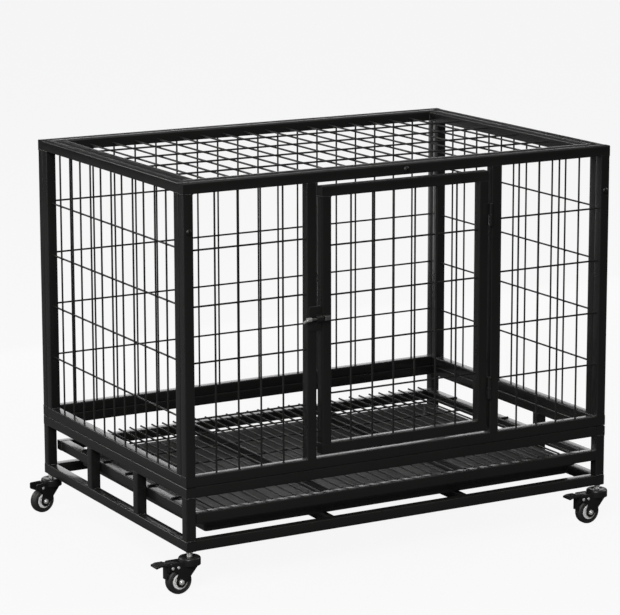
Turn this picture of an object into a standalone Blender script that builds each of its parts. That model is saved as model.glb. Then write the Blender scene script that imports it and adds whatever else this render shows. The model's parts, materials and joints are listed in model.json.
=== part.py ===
"""Steel pet cage on braked casters, with a hinged front door, a slide latch and a pull-out tray.

Units are metres and +Z is up. The origin is on the floor, under the middle of the space that the
cage takes with its casters and pedals.
The front, with the door, faces -Y.
"""

import math

import bmesh
import bpy
from mathutils import Matrix, Vector

# Overall body
CAGE_LENGTH = 0.940
CAGE_WIDTH = 0.643
BODY_HEIGHT = 0.689
BASE_HEIGHT = 0.122
CASTER_HEIGHT = 0.078

# Square tube and welded wire
TUBE = 0.020
TUBE_EDGE = 0.0015
WIRE = 0.003
GAP = 0.0003

# Front panel and door
SIDE_BAY = 0.236
BAY_CELLS = 5
PANEL_ROWS = 5
DOOR_LATCH_GAP = 0.012
DOOR_HINGE_GAP = 0.008
DOOR_TOP_GAP = 0.008
DOOR_BOTTOM_GAP = 0.0065
DOOR_CELLS = 7

# Side, back and roof panels
SIDE_CELLS = 12
BACK_CELLS = 19
ROOF_TUBE = 0.0244
ROOF_CELLS = 17
ROOF_ROWS = 5

# Base and its raised floor grille
BASE_WINDOWS = 3
CROSSBAR = 0.010
CROSSBAR_SPACING = 0.300
FLOOR_BOTTOM = 0.052
FLOOR_WIRE_PITCH = 0.025
FLOOR_ROW_PITCH = 0.100
FLOOR_WIRE_SEAT = 0.014

# Tray
TRAY_SIDE_CLEARANCE = 0.025
TRAY_FRONT_SETBACK = 0.028
TRAY_BACK_SETBACK = 0.043
TRAY_HEIGHT = 0.025
TRAY_SHEET = 0.0022
TRAY_LIP = 0.012
TRAY_DRAFT = 0.004
TRAY_CORNER = 0.016

# Door hinges
HINGE_INSET = 0.085
HINGE_KNUCKLE = 0.022
HINGE_RADIUS = 0.0037
HINGE_PIN_RADIUS = 0.0018
HINGE_PIN_CLEARANCE = 0.0002
HINGE_LEAF = 0.002
HINGE_LEAF_LENGTH = 0.014
HINGE_FOLD_CLEARANCE = 0.0007

# Slide latch
LATCH_HEIGHT = 0.413
LATCH_PLATE_LENGTH = 0.027
LATCH_PLATE_HEIGHT = 0.046
LATCH_PLATE = 0.0017
LATCH_GUIDE_LENGTH = 0.012
LATCH_GUIDE_HEIGHT = 0.015
LATCH_GUIDE_WALL = 0.0016
LATCH_GUIDE_EDGE = 0.0015
BOLT_RADIUS = 0.0025
BOLT_CLEARANCE = 0.0003
BOLT_FORWARD = 0.0065
BOLT_TIP_CLEARANCE = 0.0015
BOLT_TRAVEL = 0.0115
COLLAR_LENGTH = 0.010
THUMB_REACH = 0.012
THUMB_DROP = 0.005
THUMB_FORWARD = 0.0015
KEEPER_LENGTH = 0.012
KEEPER_SHEET = 0.0014
KEEPER_OPENING = 0.0064

# Panel screws
SCREW_DROP = 0.089
SCREW_RADIUS = 0.006
SCREW_DOME = 0.0035

# Casters
WHEEL_RADIUS = 0.025
WHEEL_WIDTH = 0.018
TYRE_THICKNESS = 0.010
TYRE_SHOULDER = 0.0030
HUB_WIDTH = 0.020
HUB_RIM = 0.0045
HUB_BOSS_RADIUS = 0.0065
HUB_WEB = 0.010
CASTER_TRAIL = 0.0235
STEM_RADIUS = 0.005
STEM_FLANGE_RADIUS = 0.0065
STEM_FLANGE = 0.003
STEM_HEAD_RADIUS = 0.0075
STEM_HEAD = 0.002
STEM_CLEARANCE = 0.0003
SWIVEL_TOP = 0.0685
SWIVEL_RADIUS = 0.0211
SWIVEL_HEIGHT = 0.0155
SWIVEL_EDGE = 0.0042
FORK_PLATE = 0.0018
FORK_CLEARANCE = 0.0009
FORK_FRONT = 0.014
FORK_RISE = 0.010
FORK_EAR_RADIUS = 0.010
FORK_PIVOT_EAR = 0.0045
AXLE_RADIUS = 0.003
AXLE_CLEARANCE = 0.0002
AXLE_HEAD_RADIUS = 0.0055
AXLE_HEAD = 0.0042
PEDAL_PIVOT_RISE = 0.0284
PEDAL_PIVOT_BACK = 0.017
PEDAL_PIVOT_RADIUS = 0.0032
PEDAL_PIN_RADIUS = 0.0022
PEDAL_SHEET = 0.0032
PEDAL_REACH = 0.074
PEDAL_WIDTH = 0.026
PEDAL_ARM_WIDTH = 0.017
PEDAL_RISE = 0.0075
PEDAL_TREAD = 0.0235
PEDAL_PAD = 0.0004
PEDAL_TIP_LENGTH = 0.0085
PEDAL_TIP_DROP = 0.0025
PEDAL_CUP_CLEARANCE = 0.0045
SHOE_SHEET = 0.0018
SHOE_DROP = 0.0224
SHOE_CLEARANCE = 0.0008
FRONT_LEFT_HEADING = 180.0
FRONT_RIGHT_HEADING = 180.0
BACK_LEFT_HEADING = 190.0
BACK_RIGHT_HEADING = 0.0

# Places that follow from the sizes above
MIDDLE = (PEDAL_REACH - CASTER_TRAIL - WHEEL_RADIUS) / 2
LEFT = MIDDLE - CAGE_LENGTH / 2
RIGHT = MIDDLE + CAGE_LENGTH / 2
FRONT = -CAGE_WIDTH / 2
BACK = CAGE_WIDTH / 2
BASE_BOTTOM = CASTER_HEIGHT
BASE_TOP = BASE_BOTTOM + BASE_HEIGHT
PANEL_BOTTOM = BASE_TOP + GAP
ROOF = BASE_BOTTOM + BODY_HEIGHT
FLOOR_FRAME_BOTTOM = BASE_BOTTOM + FLOOR_BOTTOM
FLOOR_FRAME_TOP = FLOOR_FRAME_BOTTOM + TUBE
LATCH_POST_LEFT = LEFT + TUBE + SIDE_BAY
LATCH_POST_RIGHT = LATCH_POST_LEFT + TUBE
HINGE_POST_LEFT = RIGHT - TUBE - SIDE_BAY - TUBE
DOOR_LEFT = LATCH_POST_RIGHT + DOOR_LATCH_GAP
DOOR_RIGHT = HINGE_POST_LEFT - DOOR_HINGE_GAP
DOOR_BOTTOM = PANEL_BOTTOM + TUBE + DOOR_BOTTOM_GAP
DOOR_TOP = ROOF - TUBE - DOOR_TOP_GAP
HINGE_X = HINGE_POST_LEFT - DOOR_HINGE_GAP / 2
HINGE_Y = FRONT - GAP - HINGE_LEAF / 2 - HINGE_FOLD_CLEARANCE
LATCH_Z = BASE_BOTTOM + LATCH_HEIGHT
BOLT_Y = FRONT - BOLT_FORWARD
BOLT_BORE_RADIUS = BOLT_RADIUS + BOLT_CLEARANCE
COLLAR_RADIUS = BOLT_FORWARD - GAP - LATCH_PLATE - BOLT_CLEARANCE


# Scene helpers

def clear_scene():
    for item in list(bpy.data.objects):
        bpy.data.objects.remove(item, do_unlink=True)


def make_collection(name):
    group = bpy.data.collections.new(name)
    bpy.context.scene.collection.children.link(group)
    return group


def make_material(name, colour, roughness, metallic):
    look = bpy.data.materials.new(name)
    look.use_nodes = True
    surface = look.node_tree.nodes["Principled BSDF"]
    surface.inputs["Base Color"].default_value = (*colour, 1.0)
    surface.inputs["Roughness"].default_value = roughness
    surface.inputs["Metallic"].default_value = metallic
    look.diffuse_color = (*colour, 1.0)
    return look


def black_powder_coat():
    return make_material("black_powder_coat", (0.016, 0.016, 0.015), 0.42, 0.35)


def black_wire_coat():
    return make_material("black_wire_coat", (0.014, 0.014, 0.013), 0.45, 0.30)


def bright_zinc():
    return make_material("bright_zinc", (0.62, 0.62, 0.60), 0.28, 1.0)


def tray_plastic():
    return make_material("tray_plastic", (0.060, 0.060, 0.060), 0.50, 0.0)


def caster_black():
    return make_material("caster_black", (0.012, 0.012, 0.012), 0.35, 0.2)


def tyre_rubber():
    return make_material("tyre_rubber", (0.010, 0.010, 0.010), 0.62, 0.0)


def hub_grey():
    return make_material("hub_grey", (0.55, 0.55, 0.55), 0.40, 0.0)


def add_object(name, mesh, location=(0, 0, 0), rotation=(0, 0, 0), parent=None):
    item = bpy.data.objects.new(name, mesh)
    item.location = location
    item.rotation_euler = rotation
    item.parent = parent
    parts.objects.link(item)
    return item


def add_cutter(name, mesh, location=(0, 0, 0), rotation=(0, 0, 0), parent=None):
    item = add_object(name, mesh, location, rotation, parent)
    parts.objects.unlink(item)
    shapers.objects.link(item)
    item.hide_render = True
    item.display_type = "WIRE"
    return item


def add_empty(name, location, heading=0.0):
    item = bpy.data.objects.new(name, None)
    item.empty_display_size = 0.03
    item.location = location
    item.rotation_euler = (0, 0, heading)
    parts.objects.link(item)
    return item


def finish_mesh(bm, name):
    mesh = bpy.data.meshes.new(name)
    bm.to_mesh(mesh)
    bm.free()
    return mesh


def paint(item, look):
    item.data.materials.clear()
    item.data.materials.append(look)
    return item


def round_edges(item, width, segments=1):
    bevel = item.modifiers.new("Rounded edges", "BEVEL")
    bevel.width = width
    bevel.segments = segments
    bevel.limit_method = "ANGLE"


def combine(item, other, operation):
    step = item.modifiers.new(operation.title(), "BOOLEAN")
    step.operation = operation
    step.object = other
    step.solver = "EXACT"


def smooth_round(mesh):
    mesh.shade_smooth()
    mesh.set_sharp_from_angle(angle=math.radians(35))
    return mesh


# Basic shapes

def add_block(bm, low, high):
    """Add the box between two corners to a mesh under construction."""
    cube = bmesh.ops.create_cube(bm, size=1.0)
    for corner in cube["verts"]:
        corner.co = [high[axis] if corner.co[axis] > 0 else low[axis] for axis in range(3)]


def blocks_mesh(name, corners, middle):
    bm = bmesh.new()
    for low, high in corners:
        add_block(bm, Vector(low) - middle, Vector(high) - middle)
    return finish_mesh(bm, name)


def span_middle(corners):
    low = Vector([min(pair[0][axis] for pair in corners) for axis in range(3)])
    high = Vector([max(pair[1][axis] for pair in corners) for axis in range(3)])
    return (low + high) / 2


def solid_bar(name, low, high, look, edge=TUBE_EDGE):
    """One straight bar between two world corners."""
    middle = (Vector(low) + Vector(high)) / 2
    item = add_object(name, blocks_mesh(name, [(low, high)], middle), middle)
    round_edges(item, edge)
    return paint(item, look)


def carry(item, parent):
    """Parent a piece that was placed in world coordinates."""
    if parent is not None:
        item.parent = parent
        item.location = Vector(item.location) - parent.location


def welded_lattice(name, first_run, second_run, look, edge=0.0, parent=None):
    """Two sets of crossing bars, joined where they meet into one welded body."""
    middle = span_middle(first_run + second_run)
    item = add_object(name, blocks_mesh(name, first_run, middle), middle)
    crossing = add_cutter(name + "_crossing", blocks_mesh(name + "_crossing", second_run, middle), middle)
    carry(item, parent)
    carry(crossing, parent)
    if edge:
        round_edges(item, edge)
        round_edges(crossing, edge)
    combine(item, crossing, "UNION")
    return paint(item, look)


def cylinder_mesh(name, radius, length, sides, axis="Z", middle=(0, 0, 0)):
    turn = {"X": Matrix.Rotation(math.pi / 2, 4, "Y"), "Y": Matrix.Rotation(math.pi / 2, 4, "X")}
    bm = bmesh.new()
    bmesh.ops.create_cone(
        bm, cap_ends=True, segments=sides, radius1=radius, radius2=radius, depth=length,
        matrix=Matrix.Translation(middle) @ turn.get(axis, Matrix.Identity(4)))
    return smooth_round(finish_mesh(bm, name))


def turned_object(name, profile, sides, look, location, rotation=(0, 0, 0), parent=None, closed=False):
    """Turn a profile of (radius, height) points about the local Z axis."""
    bm = bmesh.new()
    points = [bm.verts.new((radius, 0, height)) for radius, height in profile]
    for start, end in zip(points, points[1:]):
        bm.edges.new((start, end))
    if closed:
        bm.edges.new((points[-1], points[0]))
    item = add_object(name, finish_mesh(bm, name), location, rotation, parent)
    screw = item.modifiers.new("Turn", "SCREW")
    screw.steps = sides
    screw.render_steps = sides
    screw.use_merge_vertices = True
    screw.merge_threshold = 0.00001
    screw.use_smooth_shade = True
    return paint(item, look)


def outline_mesh(name, points, thickness):
    """A flat outline in the local XZ plane, given its thickness along Y."""
    shape = bpy.data.curves.new(name, "CURVE")
    shape.dimensions = "2D"
    shape.fill_mode = "BOTH"
    shape.extrude = thickness / 2
    spline = shape.splines.new("POLY")
    spline.points.add(len(points) - 1)
    for point, (across, up) in zip(spline.points, points):
        point.co = (across, up, 0, 1)
    spline.use_cyclic_u = True
    return mesh_from_curve(name, shape, Matrix.Rotation(math.pi / 2, 4, "X"))


def rod_mesh(name, points, radius):
    """A bent round rod along a line of points."""
    shape = bpy.data.curves.new(name, "CURVE")
    shape.dimensions = "3D"
    shape.bevel_depth = radius
    shape.bevel_resolution = 2
    shape.use_fill_caps = True
    spline = shape.splines.new("POLY")
    spline.points.add(len(points) - 1)
    for point, place in zip(spline.points, points):
        point.co = (*place, 1)
    return mesh_from_curve(name, shape, Matrix.Identity(4))


def mesh_from_curve(name, shape, turn):
    draft = bpy.data.objects.new(name + "_draft", shape)
    parts.objects.link(draft)
    bpy.context.view_layer.update()
    evaluated = draft.evaluated_get(bpy.context.evaluated_depsgraph_get())
    mesh = bpy.data.meshes.new_from_object(evaluated)
    mesh.name = name
    bm = bmesh.new()
    bm.from_mesh(mesh)
    bmesh.ops.remove_doubles(bm, verts=bm.verts, dist=0.000005)
    bmesh.ops.transform(bm, matrix=turn, verts=bm.verts)
    bm.to_mesh(mesh)
    bm.free()
    bpy.data.objects.remove(draft, do_unlink=True)
    return smooth_round(mesh)


# Bars and wires as corner pairs

def axis_numbers(letters):
    """The numbers of the axes that a plane runs across, up and through."""
    return ["XYZ".index(letter) for letter in letters]


def evenly(start, end, cells):
    """The places that divide a span into equal cells."""
    return [start + (end - start) * index / cells for index in range(1, cells)]


def pitched(start, end, pitch):
    """The places a fixed pitch apart, centred in a span."""
    count = int((end - start) / pitch)
    first = (start + end) / 2 - pitch * (count - 1) / 2
    return [first + pitch * index for index in range(count)]


def wires_across(axis, run, along, places, depth_axis, depth):
    """Square wires parallel to one axis, one at each place along another, between two depths."""
    half = WIRE / 2
    found = []
    for place in places:
        low = [0.0, 0.0, 0.0]
        high = [0.0, 0.0, 0.0]
        low[axis] = run[0]
        high[axis] = run[1]
        low[along] = place - half
        high[along] = place + half
        low[depth_axis], high[depth_axis] = depth
        found.append((low, high))
    return found


def wire_panel(name, axes, opening, cells, depth, look, parent=None):
    """Welded mesh that fills an opening: a layer of wires lying on a layer of crossing ones."""
    first, second, depth_axis = axis_numbers(axes)
    low_first, high_first = opening[0]
    low_second, high_second = opening[1]
    first_run = (low_first + GAP, high_first - GAP)
    second_run = (low_second + GAP, high_second - GAP)
    uprights = wires_across(
        second, second_run, first, evenly(low_first, high_first, cells[0]), depth_axis,
        (depth - WIRE, depth))
    rows = wires_across(
        first, first_run, second, evenly(low_second, high_second, cells[1]), depth_axis,
        (depth, depth + WIRE))
    return welded_lattice(name, uprights, rows, look, parent=parent)


def ring_of_tubes(axes, low, high, tube, depth):
    """The rails and posts of a rectangular frame, posts ending inside the rails."""
    rails = []
    for edge in (low[1], high[1] - tube):
        rails.append(frame_bar(axes, (low[0], edge), (high[0], edge + tube), depth))
    posts = []
    for edge in (low[0], high[0] - tube):
        posts.append(frame_bar(axes, (edge, low[1] + tube / 2), (edge + tube, high[1] - tube / 2), depth))
    return rails, posts


def frame_bar(axes, low, high, depth):
    across, up, depth_axis = axis_numbers(axes)
    start = [0.0, 0.0, 0.0]
    end = [0.0, 0.0, 0.0]
    start[across], start[up], start[depth_axis] = low[0], low[1], depth[0]
    end[across], end[up], end[depth_axis] = high[0], high[1], depth[1]
    return start, end


ALONG_FRONT = "XZY"
ALONG_SIDE = "YZX"
LYING_FLAT = "XYZ"


# Base

def build_base(coat):
    for name, edge in (("base_left_frame", LEFT), ("base_right_frame", RIGHT - TUBE)):
        rails, posts = ring_of_tubes(
            ALONG_SIDE, (FRONT, BASE_BOTTOM), (BACK, BASE_TOP), TUBE, (edge, edge + TUBE))
        for middle in strut_places():
            posts.append(frame_bar(
                ALONG_SIDE, (middle - TUBE / 2, BASE_BOTTOM + TUBE / 2),
                (middle + TUBE / 2, BASE_TOP - TUBE / 2), (edge, edge + TUBE)))
        welded_lattice(name, rails, posts, coat, TUBE_EDGE)
    inner = (LEFT + TUBE + GAP, RIGHT - TUBE - GAP)
    for side, edge in (("front", FRONT), ("back", BACK - TUBE)):
        for level, bottom in (("bottom", BASE_BOTTOM), ("top", BASE_TOP - TUBE)):
            solid_bar(
                f"base_{side}_{level}_rail", (inner[0], edge, bottom), (inner[1], edge + TUBE, bottom + TUBE),
                coat)
    for side, middle in zip(("left", "right"), crossbar_places()):
        solid_bar(
            f"base_crossbar_{side}", (middle - CROSSBAR / 2, FRONT + TUBE + GAP, BASE_BOTTOM),
            (middle + CROSSBAR / 2, BACK - TUBE - GAP, BASE_BOTTOM + TUBE), coat, TUBE_EDGE / 2)


def crossbar_places():
    return MIDDLE - CROSSBAR_SPACING / 2, MIDDLE + CROSSBAR_SPACING / 2


def strut_places():
    """Strut centres that leave equal windows between the posts."""
    clear = CAGE_WIDTH - 2 * TUBE - (BASE_WINDOWS - 1) * TUBE
    window = clear / BASE_WINDOWS
    step = window + TUBE
    return [FRONT + TUBE / 2 + step * index for index in range(1, BASE_WINDOWS)]


def build_floor(coat, wire_coat):
    depth = (FLOOR_FRAME_BOTTOM, FLOOR_FRAME_TOP)
    left = LEFT + TUBE + GAP
    right = RIGHT - TUBE - GAP
    rails, posts = ring_of_tubes(LYING_FLAT, (left, FRONT), (right, BACK - TUBE - GAP), TUBE, depth)
    for middle in crossbar_places():
        posts.append(frame_bar(
            LYING_FLAT, (middle - CROSSBAR / 2, FRONT + TUBE / 2),
            (middle + CROSSBAR / 2, BACK - TUBE - GAP - TUBE / 2), depth))
    welded_lattice("floor_grille_frame", rails, posts, coat, TUBE_EDGE)
    seat = FLOOR_FRAME_TOP + GAP
    weld = seat + WIRE
    rows = wires_across(
        0, (left + TUBE - FLOOR_WIRE_SEAT, right - TUBE + FLOOR_WIRE_SEAT), 1,
        pitched(FRONT + TUBE, BACK - TUBE - GAP - TUBE, FLOOR_ROW_PITCH), 2, (seat, weld))
    bars = wires_across(
        1, (FRONT + TUBE - FLOOR_WIRE_SEAT, BACK - TUBE - GAP - TUBE + FLOOR_WIRE_SEAT), 0,
        pitched(left + TUBE, right - TUBE, FLOOR_WIRE_PITCH), 2, (weld, weld + WIRE))
    welded_lattice("floor_grille_wires", rows, bars, wire_coat)


# Panels

def build_front_panel(coat, wire_coat):
    depth = (FRONT, FRONT + TUBE)
    rails, posts = ring_of_tubes(ALONG_FRONT, (LEFT, PANEL_BOTTOM), (RIGHT, ROOF), TUBE, depth)
    for edge in (LATCH_POST_LEFT, HINGE_POST_LEFT):
        posts.append(frame_bar(
            ALONG_FRONT, (edge, PANEL_BOTTOM + TUBE / 2), (edge + TUBE, ROOF - TUBE / 2), depth))
    welded_lattice("front_frame", rails, posts, coat, TUBE_EDGE)
    middle = FRONT + TUBE / 2
    rise = (PANEL_BOTTOM + TUBE, ROOF - TUBE)
    bays = (("left", (LEFT + TUBE, LATCH_POST_LEFT)), ("right", (HINGE_POST_LEFT + TUBE, RIGHT - TUBE)))
    for side, span in bays:
        wire_panel(
            f"front_mesh_{side}", ALONG_FRONT, (span, rise), (BAY_CELLS, PANEL_ROWS), middle, wire_coat)


def build_back_panel(coat, wire_coat):
    depth = (BACK - TUBE, BACK)
    rails, posts = ring_of_tubes(ALONG_FRONT, (LEFT, PANEL_BOTTOM), (RIGHT, ROOF), TUBE, depth)
    welded_lattice("back_frame", rails, posts, coat, TUBE_EDGE)
    wire_panel(
        "back_mesh", ALONG_FRONT, ((LEFT + TUBE, RIGHT - TUBE), (PANEL_BOTTOM + TUBE, ROOF - TUBE)),
        (BACK_CELLS, PANEL_ROWS), BACK - TUBE / 2, wire_coat)


def build_side_panels(coat, wire_coat):
    front = FRONT + TUBE + GAP
    back = BACK - TUBE - GAP
    for side, edge in (("left", LEFT), ("right", RIGHT - TUBE)):
        rails, posts = ring_of_tubes(
            ALONG_SIDE, (front, PANEL_BOTTOM), (back, ROOF), TUBE, (edge, edge + TUBE))
        welded_lattice(f"{side}_frame", rails, posts, coat, TUBE_EDGE)
        wire_panel(
            f"{side}_mesh", ALONG_SIDE, ((front + TUBE, back - TUBE), (PANEL_BOTTOM + TUBE, ROOF - TUBE)),
            (SIDE_CELLS, PANEL_ROWS), edge + TUBE / 2, wire_coat)


def build_roof_panel(coat, wire_coat):
    low = (LEFT + TUBE + GAP, FRONT + TUBE + GAP)
    high = (RIGHT - TUBE - GAP, BACK - TUBE - GAP)
    rails, posts = ring_of_tubes(LYING_FLAT, low, high, ROOF_TUBE, (ROOF - TUBE, ROOF))
    welded_lattice("roof_frame", rails, posts, coat, TUBE_EDGE)
    spans = [(low[axis] + ROOF_TUBE, high[axis] - ROOF_TUBE) for axis in range(2)]
    wire_panel("roof_mesh", LYING_FLAT, spans, (ROOF_CELLS, ROOF_ROWS), ROOF - TUBE / 2, wire_coat)


def build_panel_screws(steel):
    height = ROOF - SCREW_DROP
    places = {
        "panel_screw_left": (LEFT + TUBE / 2, height),
        "panel_screw_right": (RIGHT - TUBE / 2, height),
        "panel_screw_top": (MIDDLE, ROOF - TUBE / 2),
    }
    for name, (across, up) in places.items():
        turned_object(
            name, dome_profile(SCREW_RADIUS, SCREW_DOME), 16, steel, (across, FRONT - GAP, up),
            (math.pi / 2, 0, 0))


def dome_profile(radius, height):
    arc = [math.radians(90 - 22.5 * index) for index in range(5)]
    return [(radius * math.cos(angle), height * math.sin(angle)) for angle in arc] + [(0.0, 0.0)]


# Door

def build_door(coat, wire_coat, steel):
    axis = add_empty("door_hinge_axis", (HINGE_X, HINGE_Y, DOOR_BOTTOM))
    depth = (FRONT, FRONT + TUBE)
    rails, posts = ring_of_tubes(
        ALONG_FRONT, (DOOR_LEFT, DOOR_BOTTOM), (DOOR_RIGHT, DOOR_TOP), TUBE, depth)
    welded_lattice("door_frame", rails, posts, coat, TUBE_EDGE, parent=axis)
    wire_panel(
        "door_mesh", ALONG_FRONT,
        ((DOOR_LEFT + TUBE, DOOR_RIGHT - TUBE), (DOOR_BOTTOM + TUBE, DOOR_TOP - TUBE)),
        (DOOR_CELLS, PANEL_ROWS), FRONT + TUBE / 2, wire_coat, parent=axis)
    for level, height in (("lower", DOOR_BOTTOM + HINGE_INSET), ("upper", DOOR_TOP - HINGE_INSET)):
        build_hinge(level, height, coat, steel, axis)
    build_keeper(steel, axis)


def build_hinge(level, height, coat, steel, axis):
    """A weld-on barrel hinge: the post half carries the pin, the door half drops over it."""
    pin_length = HINGE_KNUCKLE * 0.7
    post_half = turned_object(
        f"hinge_{level}_post_half",
        [(0.0, GAP + pin_length), (HINGE_PIN_RADIUS, GAP + pin_length), (HINGE_PIN_RADIUS, 0.0),
         (HINGE_RADIUS, 0.0), (HINGE_RADIUS, -HINGE_KNUCKLE), (0.0, -HINGE_KNUCKLE)],
        16, coat, (HINGE_X, HINGE_Y, height))
    bore = HINGE_PIN_RADIUS + HINGE_PIN_CLEARANCE
    bore_top = 2 * GAP + pin_length
    barrel = turned_object(
        f"hinge_{level}_door_half",
        [(0.0, HINGE_KNUCKLE), (HINGE_RADIUS, HINGE_KNUCKLE), (HINGE_RADIUS, GAP), (bore, GAP),
         (bore, bore_top), (0.0, bore_top)],
        16, coat, (HINGE_X, HINGE_Y, height))
    carry(barrel, axis)
    add_hinge_leaf(post_half, 1, (height - HINGE_KNUCKLE, height), None)
    add_hinge_leaf(barrel, -1, (height + GAP, height + HINGE_KNUCKLE), axis)


def add_hinge_leaf(half, side, rise, axis):
    """The flat leaf that is welded to the face of the post or of the door stile."""
    root = HINGE_X + side * (HINGE_RADIUS + HINGE_PIN_RADIUS + HINGE_PIN_CLEARANCE) / 2
    end = HINGE_X + side * HINGE_LEAF_LENGTH
    seat = FRONT - GAP
    leaf = [((min(root, end), seat - HINGE_LEAF, rise[0]), (max(root, end), seat, rise[1]))]
    middle = span_middle(leaf)
    name = half.name + "_leaf"
    plate = add_cutter(name, blocks_mesh(name, leaf, middle), middle)
    carry(plate, axis)
    combine(half, plate, "UNION")


def build_keeper(steel, axis):
    """A bent strap on the door stile that the latch bolt slides into."""
    inner = KEEPER_OPENING / 2
    outer = inner + KEEPER_SHEET
    seat = FRONT - GAP
    face = BOLT_Y - outer
    left = DOOR_LEFT + GAP
    right = left + KEEPER_LENGTH
    keeper = solid_bar(
        "latch_keeper", (left, face, LATCH_Z - outer), (right, seat, LATCH_Z + outer), steel, KEEPER_SHEET / 2)
    hollow = [((left - GAP * 10, face + KEEPER_SHEET, LATCH_Z - inner),
               (right + GAP * 10, seat + GAP * 10, LATCH_Z + inner))]
    middle = span_middle(hollow)
    opening = add_cutter("latch_keeper_opening", blocks_mesh("latch_keeper_opening", hollow, middle), middle)
    combine(keeper, opening, "DIFFERENCE")
    carry(keeper, axis)
    carry(opening, axis)


# Latch

def build_latch(coat, steel):
    build_latch_housing(coat)
    build_latch_bolt(steel)


def latch_places():
    """X of the guide's two ends, the collar's end and the bolt's tip, with the bolt drawn back."""
    tip = DOOR_LEFT - BOLT_TIP_CLEARANCE
    guide_right = DOOR_LEFT - 2 * BOLT_TIP_CLEARANCE
    guide_left = guide_right - LATCH_GUIDE_LENGTH
    collar_right = guide_left - BOLT_TRAVEL - BOLT_CLEARANCE
    return guide_left, guide_right, collar_right, tip


def build_latch_housing(coat):
    guide_left, guide_right, _, _ = latch_places()
    seat = FRONT - GAP
    plate = solid_bar(
        "latch_housing",
        (guide_right - LATCH_PLATE_LENGTH, seat - LATCH_PLATE, LATCH_Z - LATCH_PLATE_HEIGHT / 2),
        (guide_right, seat, LATCH_Z + LATCH_PLATE_HEIGHT / 2), coat, LATCH_PLATE / 4)
    half = LATCH_GUIDE_HEIGHT / 2
    block = [((guide_left, BOLT_Y - BOLT_BORE_RADIUS - LATCH_GUIDE_WALL, LATCH_Z - half),
              (guide_right, seat - LATCH_PLATE / 2, LATCH_Z + half))]
    middle = span_middle(block)
    guide = add_cutter("latch_guide", blocks_mesh("latch_guide", block, middle), middle)
    round_edges(guide, LATCH_GUIDE_EDGE, 2)
    combine(plate, guide, "UNION")
    bore = add_cutter(
        "latch_bore", cylinder_mesh("latch_bore", BOLT_BORE_RADIUS, LATCH_GUIDE_LENGTH * 2, 16, "X"),
        ((guide_left + guide_right) / 2, BOLT_Y, LATCH_Z))
    combine(plate, bore, "DIFFERENCE")


def build_latch_bolt(steel):
    """A round bolt whose back end is bent into a thumb piece, with a stop collar."""
    _, _, collar_right, tip = latch_places()
    collar_left = collar_right - COLLAR_LENGTH
    bend = collar_left + COLLAR_LENGTH * 0.4
    path = [(tip, BOLT_Y, LATCH_Z), (bend, BOLT_Y, LATCH_Z),
            (bend - THUMB_REACH / 2, BOLT_Y - THUMB_FORWARD * 0.4, LATCH_Z - THUMB_DROP * 0.4),
            (bend - THUMB_REACH, BOLT_Y - THUMB_FORWARD, LATCH_Z - THUMB_DROP)]
    origin = Vector((tip, BOLT_Y, LATCH_Z))
    rod = add_object(
        "latch_bolt", rod_mesh("latch_bolt", [Vector(place) - origin for place in path], BOLT_RADIUS), origin)
    paint(rod, steel)
    collar = add_cutter(
        "latch_collar", cylinder_mesh("latch_collar", COLLAR_RADIUS, COLLAR_LENGTH, 16, "X"),
        ((collar_left + collar_right) / 2, BOLT_Y, LATCH_Z))
    round_edges(collar, BOLT_RADIUS / 3)
    combine(rod, collar, "UNION")


# Tray

def build_tray(plastic):
    """A shallow pan with a turned-out lip, drawn down from a flat rounded sheet."""
    left = LEFT + TUBE + TRAY_SIDE_CLEARANCE
    right = RIGHT - TUBE - TRAY_SIDE_CLEARANCE
    front = FRONT + TRAY_FRONT_SETBACK
    back = BACK - TRAY_BACK_SETBACK
    rest = BASE_BOTTOM + TUBE + GAP
    bm = bmesh.new()
    size = Matrix.Diagonal((right - left, back - front, 1.0, 1.0))
    bmesh.ops.create_grid(bm, x_segments=1, y_segments=1, size=0.5, matrix=size)
    bmesh.ops.bevel(bm, geom=bm.verts[:], offset=TRAY_CORNER, segments=4, profile=0.5, affect="VERTICES")
    sheet = bm.faces[:]
    bmesh.ops.inset_region(bm, faces=sheet, thickness=TRAY_LIP, use_even_offset=True, use_boundary=True)
    depth = TRAY_HEIGHT - TRAY_SHEET
    bmesh.ops.inset_region(bm, faces=sheet, thickness=TRAY_DRAFT, depth=-depth, use_even_offset=True)
    place = ((left + right) / 2, (front + back) / 2, rest + TRAY_HEIGHT)
    tray = add_object("tray", finish_mesh(bm, "tray"), place)
    shell = tray.modifiers.new("Sheet", "SOLIDIFY")
    shell.thickness = TRAY_SHEET
    shell.offset = -1.0
    shell.use_even_offset = True
    return paint(tray, plastic)


# Casters

def build_casters(black, steel, rubber, grey):
    inset = TUBE / 2
    corners = {
        "front_left": (LEFT + inset, FRONT + inset, FRONT_LEFT_HEADING, True),
        "front_right": (RIGHT - inset, FRONT + inset, FRONT_RIGHT_HEADING, True),
        "back_left": (LEFT + inset, BACK - inset, BACK_LEFT_HEADING, False),
        "back_right": (RIGHT - inset, BACK - inset, BACK_RIGHT_HEADING, False),
    }
    for corner, (across, back, heading, braked) in corners.items():
        swivel = add_empty(f"{corner}_swivel_axis", (across, back, 0), math.radians(heading))
        spin = add_empty(f"{corner}_wheel_axis", (CASTER_TRAIL, 0, WHEEL_RADIUS))
        spin.parent = swivel
        build_stem(corner, across, back, steel)
        build_fork(corner, swivel, braked, black)
        build_axle(corner, spin, steel)
        if braked:
            build_pedal(corner, swivel, black)
        build_wheel(corner, spin, rubber, grey)


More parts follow.
